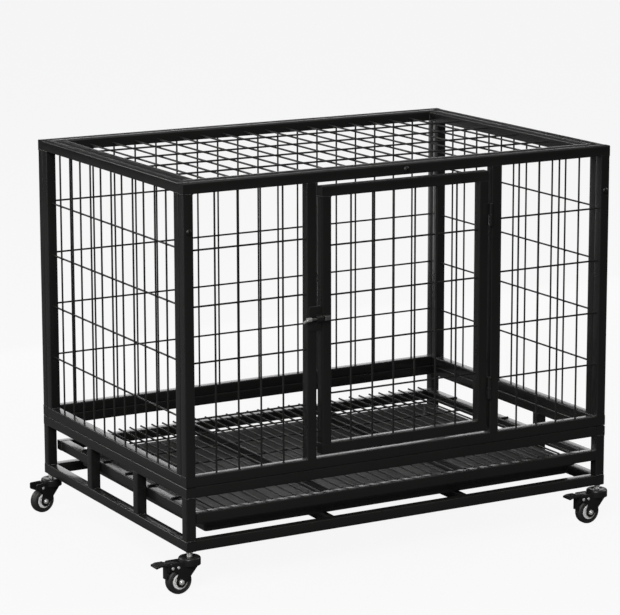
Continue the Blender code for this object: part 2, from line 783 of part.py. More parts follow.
def build_stem(corner, across, back, steel):
    """The threaded stem: a flange under the tube, a shank and a riveted head below the fork."""
    top = BASE_BOTTOM - GAP
    plate_bottom = SWIVEL_TOP - SWIVEL_HEIGHT
    turned_object(
        f"{corner}_caster_stem",
        [(0.0, top), (STEM_FLANGE_RADIUS, top), (STEM_FLANGE_RADIUS, top - STEM_FLANGE),
         (STEM_RADIUS, top - STEM_FLANGE - STEM_FLANGE / 2), (STEM_RADIUS, plate_bottom - GAP),
         (STEM_HEAD_RADIUS, plate_bottom - GAP), (STEM_HEAD_RADIUS * 0.7, plate_bottom - GAP - STEM_HEAD),
         (0.0, plate_bottom - GAP - STEM_HEAD)],
        12, steel, (across, back, 0))


def fork_inner_width():
    return HUB_WIDTH + 2 * FORK_CLEARANCE


def arc_points(middle, radius, start, end, steps):
    """Points on an arc, with the angles in degrees."""
    found = []
    for index in range(steps + 1):
        angle = math.radians(start + (end - start) * index / steps)
        found.append((middle[0] + radius * math.cos(angle), middle[1] + radius * math.sin(angle)))
    return found


def pedal_pivot():
    return CASTER_TRAIL + PEDAL_PIVOT_BACK, WHEEL_RADIUS + PEDAL_PIVOT_RISE


def build_fork(corner, swivel, braked, black):
    """A pressed fork: a round swivel cup over a bridge with two raked cheeks."""
    plate_bottom = SWIVEL_TOP - SWIVEL_HEIGHT
    crown = plate_bottom + FORK_RISE
    pivot = pedal_pivot()
    axle = (CASTER_TRAIL, WHEEL_RADIUS)
    rear = pivot[0] + FORK_PIVOT_EAR
    corner_cut = FORK_PLATE
    outline = [(-FORK_FRONT, crown), (-FORK_FRONT, plate_bottom + FORK_PLATE)]
    outline += arc_points(axle, FORK_EAR_RADIUS, 220, 370, 9)
    outline += [(axle[0] + FORK_EAR_RADIUS / 2, pivot[1] - FORK_EAR_RADIUS)]
    outline += arc_points(pivot, FORK_PIVOT_EAR, 290, 360, 3)
    outline += [(rear, crown - corner_cut), (rear - corner_cut, crown)]
    width = fork_inner_width() + 2 * FORK_PLATE
    name = f"{corner}_caster_fork"
    fork = paint(add_object(name, outline_mesh(name, outline, width), parent=swivel), black)
    half = fork_inner_width() / 2
    throat = ((-FORK_FRONT * 2, -half, 0.0), (rear * 2, half, plate_bottom))
    notch = ((SWIVEL_RADIUS + FORK_PLATE, -half, plate_bottom / 2), (rear * 2, half, SWIVEL_TOP))
    for kind, corners in (("throat", throat), ("notch", notch)):
        cut = add_cutter(f"{corner}_fork_{kind}", blocks_mesh(f"fork_{kind}", [corners], Vector()), parent=swivel)
        combine(fork, cut, "DIFFERENCE")
    cup = add_cutter(
        f"{corner}_swivel_cup",
        cylinder_mesh("swivel_cup", SWIVEL_RADIUS, SWIVEL_HEIGHT, 20), (0, 0, SWIVEL_TOP - SWIVEL_HEIGHT / 2),
        parent=swivel)
    round_edges(cup, SWIVEL_EDGE, 2)
    combine(fork, cup, "UNION")
    stem_hole = add_cutter(
        f"{corner}_stem_hole",
        cylinder_mesh("stem_hole", STEM_RADIUS + STEM_CLEARANCE, SWIVEL_TOP, 12), (0, 0, SWIVEL_TOP), parent=swivel)
    combine(fork, stem_hole, "DIFFERENCE")
    drill_cheeks(fork, corner, "axle", axle, AXLE_RADIUS, width, swivel)
    if braked:
        drill_cheeks(fork, corner, "pedal", pivot, PEDAL_PIN_RADIUS, width, swivel)


def drill_cheeks(fork, corner, kind, middle, pin_radius, width, swivel):
    hole = add_cutter(
        f"{corner}_{kind}_hole", cylinder_mesh(f"{kind}_hole", pin_radius + AXLE_CLEARANCE, width * 2, 12, "Y"),
        (middle[0], 0, middle[1]), parent=swivel)
    combine(fork, hole, "DIFFERENCE")


def build_axle(corner, spin, steel):
    """A riveted axle with a round head outside each cheek."""
    head = fork_inner_width() / 2 + FORK_PLATE + GAP
    end = head + AXLE_HEAD
    profile = [(0.0, end), (AXLE_HEAD_RADIUS * 0.6, end), (AXLE_HEAD_RADIUS, head),
               (AXLE_RADIUS, head), (AXLE_RADIUS, -head),
               (AXLE_HEAD_RADIUS, -head), (AXLE_HEAD_RADIUS * 0.6, -end), (0.0, -end)]
    turned_object(
        f"{corner}_caster_axle", profile, 12, steel, (0, 0, 0), (math.pi / 2, 0, 0), parent=spin)


def build_pedal(corner, swivel, black):
    """The brake pedal: a lever on a pin between the cheeks, with a shoe behind the tyre and a wide tread."""
    pivot = pedal_pivot()
    tip = PEDAL_REACH - pivot[0]
    front = SWIVEL_RADIUS + PEDAL_CUP_CLEARANCE - pivot[0]
    under = PEDAL_RISE - PEDAL_SHEET / 2
    over = PEDAL_RISE + PEDAL_SHEET / 2
    shoe = WHEEL_RADIUS + SHOE_CLEARANCE - PEDAL_PIVOT_BACK
    knee = tip - PEDAL_TIP_LENGTH
    root = tip - PEDAL_TREAD
    lever = [(front, PEDAL_RISE), (-PEDAL_PIVOT_RADIUS, under)]
    lever += arc_points((0.0, 0.0), PEDAL_PIVOT_RADIUS, 180, 300, 5)
    lever += [(shoe, 0.0), (shoe, -SHOE_DROP), (shoe + SHOE_SHEET, -SHOE_DROP), (shoe + SHOE_SHEET, under)]
    lever += [(knee, PEDAL_RISE), (root + PEDAL_SHEET, over), (front, over)]
    axis = add_empty(f"{corner}_pedal_axis", (pivot[0], 0, pivot[1]))
    axis.parent = swivel
    name = f"{corner}_brake_pedal"
    pedal = paint(add_object(name, outline_mesh(name, lever, PEDAL_ARM_WIDTH), parent=axis), black)
    low = under - PEDAL_PAD
    high = over + PEDAL_PAD
    pad = [(root, low), (knee, low), (tip, low - PEDAL_TIP_DROP), (tip, high - PEDAL_TIP_DROP),
           (knee, high), (root, high)]
    tread = add_cutter(
        f"{corner}_pedal_tread", outline_mesh("pedal_tread", pad, PEDAL_WIDTH), parent=axis)
    combine(pedal, tread, "UNION")
    pin_length = fork_inner_width() + 2 * FORK_PLATE + 2 * GAP
    pin = add_cutter(
        f"{corner}_pedal_pin", cylinder_mesh("pedal_pin", PEDAL_PIN_RADIUS, pin_length, 10, "Y"), parent=axis)
    combine(pedal, pin, "UNION")


def build_wheel(corner, spin, rubber, grey):
    """A rubber tyre on a pale hub with a recessed web."""
    quarter = (math.pi / 2, 0, 0)
    hub_radius = WHEEL_RADIUS - TYRE_THICKNESS
    half = WHEEL_WIDTH / 2
    inner = hub_radius + GAP
    tyre = [(inner, half), (WHEEL_RADIUS - TYRE_SHOULDER, half), (WHEEL_RADIUS, half - TYRE_SHOULDER),
            (WHEEL_RADIUS, TYRE_SHOULDER - half), (WHEEL_RADIUS - TYRE_SHOULDER, -half), (inner, -half)]
    turned_object(f"{corner}_caster_tyre", tyre, 24, rubber, (0, 0, 0), quarter, spin, closed=True)
    wide = HUB_WIDTH / 2
    web = HUB_WEB / 2
    rim = hub_radius - HUB_RIM
    bore = AXLE_RADIUS + AXLE_CLEARANCE
    face = rim + HUB_RIM / 4
    hub = [(bore, wide), (HUB_BOSS_RADIUS, wide), (HUB_BOSS_RADIUS, web), (rim, web), (face, half),
           (hub_radius, half), (hub_radius, -half), (face, -half), (rim, -web), (HUB_BOSS_RADIUS, -web),
           (HUB_BOSS_RADIUS, -wide), (bore, -wide)]
    turned_object(f"{corner}_caster_hub", hub, 16, grey, (0, 0, 0), quarter, spin, closed=True)


clear_scene()
parts = make_collection("pet_cage")
shapers = make_collection("shapers")

coat = black_powder_coat()
wire_coat = black_wire_coat()
steel = bright_zinc()

build_base(coat)
build_floor(coat, wire_coat)
build_front_panel(coat, wire_coat)
build_back_panel(coat, wire_coat)
build_side_panels(coat, wire_coat)
build_roof_panel(coat, wire_coat)
build_panel_screws(steel)
build_door(coat, wire_coat, steel)
build_latch(coat, steel)
build_tray(tray_plastic())
build_casters(caster_black(), steel, tyre_rubber(), hub_grey())
bpy.context.view_layer.update()
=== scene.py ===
import json
import math

import bmesh
import bpy
from mathutils import Matrix, Vector


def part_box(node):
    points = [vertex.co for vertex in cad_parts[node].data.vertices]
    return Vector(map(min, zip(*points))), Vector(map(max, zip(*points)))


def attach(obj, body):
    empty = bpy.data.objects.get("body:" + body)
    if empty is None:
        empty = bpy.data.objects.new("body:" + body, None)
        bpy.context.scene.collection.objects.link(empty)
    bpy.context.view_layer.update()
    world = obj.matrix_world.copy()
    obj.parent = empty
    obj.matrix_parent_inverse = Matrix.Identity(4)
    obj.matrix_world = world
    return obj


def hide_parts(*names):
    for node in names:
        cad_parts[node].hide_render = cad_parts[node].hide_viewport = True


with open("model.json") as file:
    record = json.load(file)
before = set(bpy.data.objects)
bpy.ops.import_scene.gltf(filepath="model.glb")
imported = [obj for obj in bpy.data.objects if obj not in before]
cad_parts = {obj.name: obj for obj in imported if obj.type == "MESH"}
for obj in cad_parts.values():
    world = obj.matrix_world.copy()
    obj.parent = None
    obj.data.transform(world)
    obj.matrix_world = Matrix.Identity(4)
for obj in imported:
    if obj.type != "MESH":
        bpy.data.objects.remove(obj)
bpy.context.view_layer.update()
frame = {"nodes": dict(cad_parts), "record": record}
bodyOfNode = {node: body for body, nodes in frame["record"]["behaviour"]["bodies"].items() for node in nodes}
cornerNames = ("front_left", "front_right", "back_left", "back_right")
print("frame loaded:", len(frame["nodes"]), "nodes")


# node helpers

# a node stands for its first output
def feed(tree, socket, value):
    if isinstance(value, bpy.types.Node):
        value = value.outputs[0]
    if isinstance(value, bpy.types.NodeSocket):
        tree.links.new(value, socket)
    else:
        socket.default_value = value


def setSockets(node, values):
    for socketName, value in values.items():
        node.inputs[socketName].default_value = value


# a node at its place in the editor
def newNode(tree, kind, at=(0, 0), **settings):
    node = tree.nodes.new(kind)
    node.location = at
    for key, value in settings.items():
        setattr(node, key, value)
    return node


def newShaderGroup(name, inputs, outputs):
    group = bpy.data.node_groups.new(name, "ShaderNodeTree")
    for socketName, value in inputs.items():
        socket = group.interface.new_socket(name=socketName, in_out="INPUT", socket_type="NodeSocketFloat")
        socket.default_value = value
    for socketName in outputs:
        group.interface.new_socket(name=socketName, in_out="OUTPUT", socket_type="NodeSocketFloat")
    return group, newNode(group, "NodeGroupInput", (-900, 0)), newNode(group, "NodeGroupOutput", (700, 0))


def mathNode(tree, operation, first, second, at=(0, 0), clamp=False):
    node = newNode(tree, "ShaderNodeMath", at, operation=operation, use_clamp=clamp)
    feed(tree, node.inputs[0], first)
    feed(tree, node.inputs[1], second)
    return node


# fine surface grain, used by every coated, plated and moulded finish
def makeGrainGroup():
    group, start, end = newShaderGroup(
        "surfaceGrain", {"Grain Scale": 900.0, "Patch Scale": 9.0, "Roughness": 0.4, "Variation": 0.08},
        ("Height", "Roughness", "Patch"))
    place = newNode(group, "ShaderNodeTexCoord", (-900, -300))
    grain = newNode(group, "ShaderNodeTexNoise", (-600, 200))
    patch = newNode(group, "ShaderNodeTexNoise", (-600, -200))
    for noise, detail, socketName in ((grain, 2.0, "Grain Scale"), (patch, 4.0, "Patch Scale")):
        noise.inputs["Detail"].default_value = detail
        group.links.new(place.outputs["Object"], noise.inputs["Vector"])
        group.links.new(start.outputs[socketName], noise.inputs["Scale"])
    centred = mathNode(group, "SUBTRACT", patch, 0.5, (-300, -200))
    swing = mathNode(group, "MULTIPLY", centred, start.outputs["Variation"], (-100, -200))
    doubled = mathNode(group, "MULTIPLY", swing, 4.0, (50, -200))
    rough = mathNode(group, "ADD", start.outputs["Roughness"], doubled, (200, -200), clamp=True)
    for socketName, source in (("Height", grain), ("Roughness", rough), ("Patch", patch)):
        feed(group, end.inputs[socketName], source)
    return group


# dust that settles on what faces up
def makeDustGroup():
    group, start, end = newShaderGroup("settledDust", {"Amount": 0.1, "Breakup Scale": 60.0}, ("Mask",))
    place = newNode(group, "ShaderNodeTexCoord", (-900, -300))
    surface = newNode(group, "ShaderNodeNewGeometry", (-900, -500))
    parts = newNode(group, "ShaderNodeSeparateXYZ", (-700, -500))
    group.links.new(surface.outputs["Normal"], parts.inputs[0])
    noise = newNode(group, "ShaderNodeTexNoise", (-600, 0))
    noise.inputs["Detail"].default_value = 6.0
    group.links.new(place.outputs["Object"], noise.inputs["Vector"])
    group.links.new(start.outputs["Breakup Scale"], noise.inputs["Scale"])
    facing = mathNode(group, "MAXIMUM", parts.outputs[2], 0.0, (-400, -400))
    broken = mathNode(group, "MULTIPLY", facing, noise, (-200, -200))
    mask = mathNode(group, "MULTIPLY", broken, start.outputs["Amount"], (0, -100), clamp=True)
    feed(group, end.inputs["Mask"], mask)
    return group


grainGroup = makeGrainGroup()
dustGroup = makeDustGroup()


# what a finish has where its own entry doesn't say otherwise
finishDefaults = {
    "metallic": 0.0, "specular": 0.5, "coat": 0.0, "coatRoughness": 0.10, "variation": 0.08, "patchScale": 9.0,
    "grainScale": 1500.0, "bump": 0.10, "bumpDepth": 0.0002, "dust": 0.02, "dustScale": 60.0}
dustColour = (0.42, 0.41, 0.39)


# a finish is one dictionary: colour and its lighter variation, roughness, metal, grain and dust
def makeFinish(name, entry):
    finish = {**finishDefaults, **entry}
    material = bpy.data.materials.new(name)
    material.use_nodes = True
    tree = material.node_tree
    shader = tree.nodes["Principled BSDF"]
    setSockets(shader, {"Metallic": finish["metallic"], "Specular IOR Level": finish["specular"]})
    if finish["coat"]:
        setSockets(shader, {"Coat Weight": finish["coat"], "Coat Roughness": finish["coatRoughness"]})
    grain = newNode(tree, "ShaderNodeGroup", (-900, 0), node_tree=grainGroup)
    setSockets(grain, {"Grain Scale": finish["grainScale"], "Patch Scale": finish["patchScale"],
                       "Roughness": finish["roughness"], "Variation": finish["variation"]})
    blend = newNode(tree, "ShaderNodeMix", (-600, 200), data_type="RGBA")
    setSockets(blend, {"A": (*finish["colour"], 1), "B": (*finish["lighter"], 1)})
    dust = newNode(tree, "ShaderNodeGroup", (-900, -400), node_tree=dustGroup)
    setSockets(dust, {"Amount": finish["dust"], "Breakup Scale": finish["dustScale"]})
    dusty = newNode(tree, "ShaderNodeMix", (-300, 200), data_type="RGBA")
    dusty.inputs["B"].default_value = (*dustColour, 1)
    bump = newNode(tree, "ShaderNodeBump", (-300, -300))
    setSockets(bump, {"Strength": finish["bump"], "Distance": finish["bumpDepth"]})
    for source, output, target, socketName in (
            (grain, "Patch", blend, "Factor"), (blend, "Result", dusty, "A"), (dust, "Mask", dusty, "Factor"),
            (grain, "Height", bump, "Height"), (dusty, "Result", shader, "Base Color"),
            (grain, "Roughness", shader, "Roughness"), (bump, "Normal", shader, "Normal")):
        tree.links.new(source.outputs[output], target.inputs[socketName])
    return material


finishes = {
    "powderCoat": {
        "colour": (0.0062, 0.0062, 0.0060), "lighter": (0.0100, 0.0098, 0.0094), "roughness": 0.30, "dust": 0.03,
        "variation": 0.05, "grainScale": 800.0, "bump": 0.34, "specular": 0.40, "coat": 0.35},
    "wireCoat": {
        "colour": (0.0080, 0.0080, 0.0076), "lighter": (0.0130, 0.0130, 0.0122), "roughness": 0.36, "dust": 0.03,
        "variation": 0.06, "grainScale": 900.0, "bump": 0.15, "specular": 0.42},
    "zincPlate": {
        "colour": (0.74, 0.74, 0.73), "lighter": (0.92, 0.92, 0.90), "roughness": 0.27, "metallic": 0.55,
        "variation": 0.10, "patchScale": 160.0},
    "trayPlastic": {
        "colour": (0.034, 0.034, 0.034), "lighter": (0.050, 0.050, 0.049), "roughness": 0.46, "dust": 0.08,
        "variation": 0.07, "grainScale": 1300.0, "bump": 0.25},
    "casterBlack": {
        "colour": (0.0070, 0.0070, 0.0070), "lighter": (0.0120, 0.0120, 0.0120), "roughness": 0.33, "dust": 0.04,
        "variation": 0.06, "patchScale": 60.0, "specular": 0.38},
    "tyreRubber": {
        "colour": (0.0100, 0.0100, 0.0100), "lighter": (0.0200, 0.0195, 0.0190), "roughness": 0.55, "dust": 0.08,
        "patchScale": 90.0, "grainScale": 1800.0, "bump": 0.30},
    "blackenedZinc": {
        "colour": (0.034, 0.034, 0.034), "lighter": (0.060, 0.060, 0.058), "roughness": 0.46, "metallic": 1.0,
        "patchScale": 160.0},
    "dullZinc": {
        "colour": (0.40, 0.40, 0.395), "lighter": (0.56, 0.56, 0.55), "roughness": 0.34, "metallic": 0.65,
        "variation": 0.10, "patchScale": 160.0},
    # darker steel: the keeper's own tone, and on the latch rod painted shade, since the real bolt is one even zinc
    # like its thumb and collar
    "keeperSteelAndRodShade": {
        "colour": (0.17, 0.17, 0.168), "lighter": (0.25, 0.25, 0.245), "roughness": 0.34, "metallic": 0.85,
        "patchScale": 160.0, "bump": 0.08, "dust": 0.01},
    "hubGrey": {
        "colour": (0.88, 0.88, 0.87), "lighter": (0.95, 0.95, 0.94), "roughness": 0.38, "dust": 0.05,
        "variation": 0.06, "patchScale": 90.0, "grainScale": 1600.0},
}
looks = {name: makeFinish(name, finish) for name, finish in finishes.items()}
print("finishes made:", len(looks))


# geometry node helpers

# inputs are numbers with their defaults, or Geometry or Material
def newGeometryTree(name, inputs):
    tree = bpy.data.node_groups.new(name, "GeometryNodeTree")
    for socketName, value in inputs.items():
        kind = value if isinstance(value, str) else type(value).__name__.title()
        socket = tree.interface.new_socket(name=socketName, in_out="INPUT", socket_type="NodeSocket" + kind)
        if value != kind:
            socket.default_value = value
    tree.interface.new_socket(name="Geometry", in_out="OUTPUT", socket_type="NodeSocketGeometry")
    return tree, tree.nodes.new("NodeGroupInput"), tree.nodes.new("NodeGroupOutput")


# a node with its inputs fed
def addNode(tree, kind, settings=None, **inputs):
    node = newNode(tree, kind, **(settings or {}))
    for key, value in inputs.items():
        feed(tree, node.inputs[key.replace("_", " ")], value)
    return node


def vector(tree, x=0.0, y=0.0, z=0.0):
    return addNode(tree, "ShaderNodeCombineXYZ", X=x, Y=y, Z=z)


# the mesh that an object and its modifiers make; the object itself goes
def takeMesh(holder):
    bpy.context.scene.collection.objects.link(holder)
    bpy.context.view_layer.update()
    mesh = bpy.data.meshes.new_from_object(holder.evaluated_get(bpy.context.evaluated_depsgraph_get()))
    bpy.data.objects.remove(holder)
    return mesh


def bakeTree(tree, values, source=None):
    holder = bpy.data.objects.new("holder", source or bpy.data.meshes.new("empty"))
    modifier = holder.modifiers.new("nodes", "NODES")
    modifier.node_group = tree
    for item in tree.interface.items_tree:
        if item.item_type == "SOCKET" and item.in_out == "INPUT" and item.name in values:
            modifier[item.identifier] = values[item.name]
    return takeMesh(holder)


def lineOfPoints(tree, count, start, offset):
    return addNode(
        tree, "GeometryNodeMeshLine", {"mode": "OFFSET"}, Count=count, Start_Location=start, Offset=offset)


def jitteredLine(tree, count, start, offset, wander, seed):
    shift = addNode(tree, "FunctionNodeRandomValue", {"data_type": "FLOAT_VECTOR"}, Seed=seed)
    feed(tree, shift.inputs[0], vector(tree, *(mathNode(tree, "MULTIPLY", wander, -1.0),) * 3))
    feed(tree, shift.inputs[1], vector(tree, wander, wander, wander))
    line = lineOfPoints(tree, count, start, offset)
    return addNode(tree, "GeometryNodeSetPosition", Geometry=line, Offset=shift)


def onPoints(tree, points, instance):
    return addNode(tree, "GeometryNodeInstanceOnPoints", Points=points, Instance=instance)


def blob(tree, size, squash):
    ball = addNode(tree, "GeometryNodeMeshIcoSphere", Radius=size, Subdivisions=2)
    return addNode(tree, "GeometryNodeTransform", Geometry=ball, Scale=squash)


# every tree ends as one real mesh with one finish
def finishTree(tree, geometry, coat, end, smooth=True):
    solid = addNode(tree, "GeometryNodeRealizeInstances", Geometry=geometry)
    if smooth:
        solid = addNode(tree, "GeometryNodeSetShadeSmooth", Geometry=solid)
    feed(tree, end.inputs[0], addNode(tree, "GeometryNodeSetMaterial", Geometry=solid, Material=coat))
    return tree


# welded wire mesh: a layer of uprights on a layer of rows, a nugget at each crossing, a tack at each end
def makeWireMeshTree():
    tree, start, end = newGeometryTree("weldedWireMesh", {
        "Width": 0.3, "Height": 0.5, "Columns": 4, "Column Start": 0.05, "Column Pitch": 0.05,
        "Rows": 4, "Row Start": 0.1, "Row Pitch": 0.1, "Wire Radius": 0.0015, "Column Side": 1.0,
        "Nugget": 0.0021, "Wander": 0.0002, "Seed": 1, "Coat": "Material"})
    get = start.outputs
    lift = mathNode(tree, "MULTIPLY", mathNode(tree, "MULTIPLY", get["Wire Radius"], 0.9), get["Column Side"])
    drop = mathNode(tree, "MULTIPLY", lift, -1.0)
    ring = addNode(tree, "GeometryNodeCurvePrimitiveCircle", Resolution=10, Radius=get["Wire Radius"])
    pieces = []
    for runEnd, count, first, step, seedShift in (
            (vector(tree, 0.0, get["Height"]), get["Columns"],
             vector(tree, get["Column Start"], 0.0, lift), vector(tree, get["Column Pitch"]), 0),
            (vector(tree, get["Width"]), get["Rows"],
             vector(tree, 0.0, get["Row Start"], drop), vector(tree, 0.0, get["Row Pitch"]), 7)):
        seed = mathNode(tree, "ADD", get["Seed"], float(seedShift))
        points = jitteredLine(tree, count, first, step, get["Wander"], seed)
        run = addNode(tree, "GeometryNodeCurvePrimitiveLine", End=runEnd)
        wire = addNode(tree, "GeometryNodeCurveToMesh", Curve=run, Profile_Curve=ring, Fill_Caps=True)
        tack = blob(tree, get["Nugget"], (1.0, 1.0, 0.9))
        farTack = addNode(tree, "GeometryNodeTransform", Geometry=tack, Translation=runEnd)
        pieces += [onPoints(tree, points, shape) for shape in (wire, tack, farTack)]
    columnLine = lineOfPoints(
        tree, get["Columns"], vector(tree, get["Column Start"]), vector(tree, get["Column Pitch"]))
    rowLine = lineOfPoints(
        tree, get["Rows"], vector(tree, 0.0, get["Row Start"]), vector(tree, 0.0, get["Row Pitch"]))
    crossings = addNode(tree, "GeometryNodeRealizeInstances", Geometry=onPoints(tree, rowLine, columnLine))
    pieces.append(onPoints(tree, crossings, blob(tree, get["Nugget"], (1.05, 1.05, 0.75))))
    joined = tree.nodes.new("GeometryNodeJoinGeometry")
    for piece in pieces:
        feed(tree, joined.inputs[0], piece)
    return finishTree(tree, joined, get["Coat"], end)


# a weld bead: overlapping drops along each edge of the source mesh
def makeBeadTree():
    tree, start, end = newGeometryTree("weldBead", {
        "Seams": "Geometry", "Spacing": 0.0014, "Bead": 0.0012, "Seed": 3, "Coat": "Material"})
    get = start.outputs
    curve = addNode(tree, "GeometryNodeMeshToCurve", Mesh=get["Seams"])
    points = addNode(tree, "GeometryNodeCurveToPoints", {"mode": "LENGTH"}, Curve=curve, Length=get["Spacing"])
    swell = addNode(tree, "FunctionNodeRandomValue", {"data_type": "FLOAT"}, Seed=get["Seed"])
    feed(tree, swell.inputs[2], 0.85)
    feed(tree, swell.inputs[3], 1.15)
    drop = addNode(tree, "GeometryNodeMeshIcoSphere", Radius=get["Bead"], Subdivisions=2)
    drops = onPoints(tree, points, drop)
    feed(tree, drops.inputs["Scale"], swell.outputs[1])
    return finishTree(tree, drops, get["Coat"], end)


# copies of the source mesh at even steps: threads and ribs
def makeRepeatTree():
    tree, start, end = newGeometryTree("repeatAlong", {
        "Shape": "Geometry", "Count": 5, "Step X": 0.0, "Step Y": 0.0, "Step Z": 0.0, "Coat": "Material"})
    get = start.outputs
    line = lineOfPoints(tree, get["Count"], vector(tree), vector(tree, get["Step X"], get["Step Y"], get["Step Z"]))
    return finishTree(tree, onPoints(tree, line, get["Shape"]), get["Coat"], end, smooth=False)


wireMeshTree = makeWireMeshTree()
beadTree = makeBeadTree()
repeatTree = makeRepeatTree()
print("node trees made")


# piece helpers

def linked(name, data):
    made = bpy.data.objects.new(name, data)
    bpy.context.scene.collection.objects.link(made)
    return made


# base_left_frame becomes baseLeftFrame
def camelName(node):
    first, *rest = node.split("_")
    return first + "".join(word.title() for word in rest)


# a finished piece, named after the node it replaces unless it has a name of its own
def showPiece(node, mesh, name=None):
    piece = linked(name or camelName(node), mesh)
    mesh.name = piece.name
    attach(piece, bodyOfNode[node])
    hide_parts(node)


def meshFrom(bm):
    mesh = bpy.data.meshes.new("shape")
    bm.to_mesh(mesh)
    bm.free()
    return mesh


# one mesh of several, each with its own finish
def dressedMesh(parts):
    bm = bmesh.new()
    order = []
    for mesh, look in parts:
        if look not in order:
            order.append(look)
        before = len(bm.faces)
        bm.from_mesh(mesh)
        bm.faces.ensure_lookup_table()
        for face in bm.faces[before:]:
            face.material_index = order.index(look)
    made = meshFrom(bm)
    for look in order:
        made.materials.append(looks[look])
    return made


# the mesh of a bmesh, mesh or curve after its modifiers, smooth but for its sharp edges
def evaluatedMesh(source, modifiers=(), smoothAngle=40):
    if isinstance(source, bmesh.types.BMesh):
        source = meshFrom(source)
    holder = bpy.data.objects.new("holder", source)
    for kind, settings in modifiers:
        modifier = holder.modifiers.new(kind.title(), kind)
        for key, value in settings.items():
            setattr(modifier, key, value)
    made = takeMesh(holder)
    made.shade_smooth()
    made.set_sharp_from_angle(angle=math.radians(smoothAngle))
    return made


def addRoundedBar(bm, low, high, radius, steps):
    corners = bmesh.ops.create_cube(bm, size=1.0)["verts"]
    for corner in corners:
        corner.co = [high[i] if corner.co[i] > 0 else low[i] for i in range(3)]
    size = [high[i] - low[i] for i in range(3)]
    run = size.index(max(size))
    edges = {edge for corner in corners for edge in corner.link_edges}
    longEdges = [edge for edge in edges if abs(edge.verts[0].co[run] - edge.verts[1].co[run]) > size[run] / 2]
    bmesh.ops.bevel(bm, geom=longEdges, offset=radius, segments=steps, profile=0.5, affect="EDGES")


def barMesh(low, high, radius, steps=3):
    bm = bmesh.new()
    addRoundedBar(bm, low, high, radius, steps)
    return evaluatedMesh(bm)


# a profile of (radius, height) points turned about Z; a closed one is a ring
def latheMesh(profile, steps, closed=False, smoothAngle=40):
    bm = bmesh.new()
    points = [bm.verts.new((radius, 0, height)) for radius, height in profile]
    for first, second in zip(points, points[1:]):
        bm.edges.new((first, second))
    if closed:
        bm.edges.new((points[-1], points[0]))
    return evaluatedMesh(bm, [("SCREW", {
        "steps": steps, "render_steps": steps, "use_merge_vertices": True, "merge_threshold": 0.000005,
        "use_normal_calculate": True})], smoothAngle)


# size and spacing of the drops in each kind of weld
weldBeads = {"frame": (0.0012, 0.0009), "hinge": (0.0008, 0.00096), "latch": (0.0009, 0.00108)}


# weld beads along straight seams, each a start and an end
def beadMesh(seams, kind):
    bm = bmesh.new()
    for start, end in seams:
        bm.edges.new((bm.verts.new(start), bm.verts.new(end)))
    bead, spacing = weldBeads[kind]
    return bakeTree(beadTree, {"Spacing": spacing, "Bead": bead, "Coat": looks["powderCoat"]}, meshFrom(bm))


# tubes and frames

tubeFrames = {
    "cornerRadius": 0.0020, "cornerSteps": 4, "seamDepth": 0.0015, "seamTrim": 0.8, "roofTube": 0.0244,
    "meshGap": 0.0003}


# rails run the whole length, posts stand between them
def rectangleMembers(low, high, across, up, tube, uprights=()):
    rails, posts = [], []
    for edge in (low[up], high[up] - tube):
        start, end = list(low), list(high)
        start[up], end[up] = edge, edge + tube
        rails.append((start, end))
    for edge, width in ((low[across], tube), (high[across] - tube, tube), *uprights):
        start, end = list(low), list(high)
        start[across], end[across] = edge, edge + width
        start[up], end[up] = low[up] + tube, high[up] - tube
        posts.append((start, end))
    return rails, posts


# the short lines where the ends of the posts meet the rails, just under both faces
def jointSeams(posts, across, up):
    depth = 3 - across - up
    sink = tubeFrames["seamDepth"]
    trim = tubeFrames["cornerRadius"] * tubeFrames["seamTrim"]

    def point(edge, level, face):
        place = [0.0, 0.0, 0.0]
        place[across], place[up], place[depth] = edge, level, face
        return place

    seams = []
    for low, high in posts:
        edges, faces = (low[across], high[across]), (low[depth], high[depth])
        for level in (low[up], high[up]):
            for face in (faces[0] + sink, faces[1] - sink):
                seams.append([point(edge, level, face) for edge in (edges[0] + trim, edges[1] - trim)])
            for edge in edges:
                seams.append([point(edge, level, face) for face in (faces[0] + trim, faces[1] - trim)])
    return seams


def showFrame(node, members, seams=(), name=None):
    bm = bmesh.new()
    for low, high in members:
        addRoundedBar(bm, low, high, tubeFrames["cornerRadius"], tubeFrames["cornerSteps"])
    meshes = [evaluatedMesh(bm, [("WEIGHTED_NORMAL", {"keep_sharp": True, "weight": 100})])]
    if seams:
        meshes.append(beadMesh(seams, "frame"))
    showPiece(node, dressedMesh([(mesh, "powderCoat") for mesh in meshes]), name)


def showRectangle(node, across, up, tube, uprights=(), name=None):
    rails, posts = rectangleMembers(*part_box(node), across, up, tube, uprights)
    showFrame(node, rails + posts, jointSeams(posts, across, up), name)


def makeFrames():
    bars = [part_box(f"base_crossbar_{side}") for side in ("left", "right")]
    tube = bars[0][1][2] - bars[0][0][2]
    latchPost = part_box("front_mesh_left")[1][0] + tubeFrames["meshGap"]
    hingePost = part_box("front_mesh_right")[0][0] - tubeFrames["meshGap"] - tube
    for node, across, up, width, uprights in (
            ("front_frame", 0, 2, tube, [(latchPost, tube), (hingePost, tube)]), ("back_frame", 0, 2, tube, []),
            ("left_frame", 1, 2, tube, []), ("right_frame", 1, 2, tube, []), ("door_frame", 0, 2, tube, []),
            ("roof_frame", 0, 1, tubeFrames["roofTube"], [])):
        showRectangle(node, across, up, width, uprights)
    for node in ("base_left_frame", "base_right_frame"):
        low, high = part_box(node)
        window = (high[1] - low[1] - 4 * tube) / 3
        struts = [(low[1] + (window + tube) * index, tube) for index in (1, 2)]
        showRectangle(node, 1, 2, tube, struts)
    crossbars = [(barLow[0], barHigh[0] - barLow[0]) for barLow, barHigh in bars]
    showRectangle("floor_grille_frame", 0, 1, tube, crossbars, "floorFrame")
    for node in ("base_front_bottom_rail", "base_front_top_rail", "base_back_bottom_rail", "base_back_top_rail",
                 "base_crossbar_left", "base_crossbar_right"):
        showFrame(node, [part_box(node)])


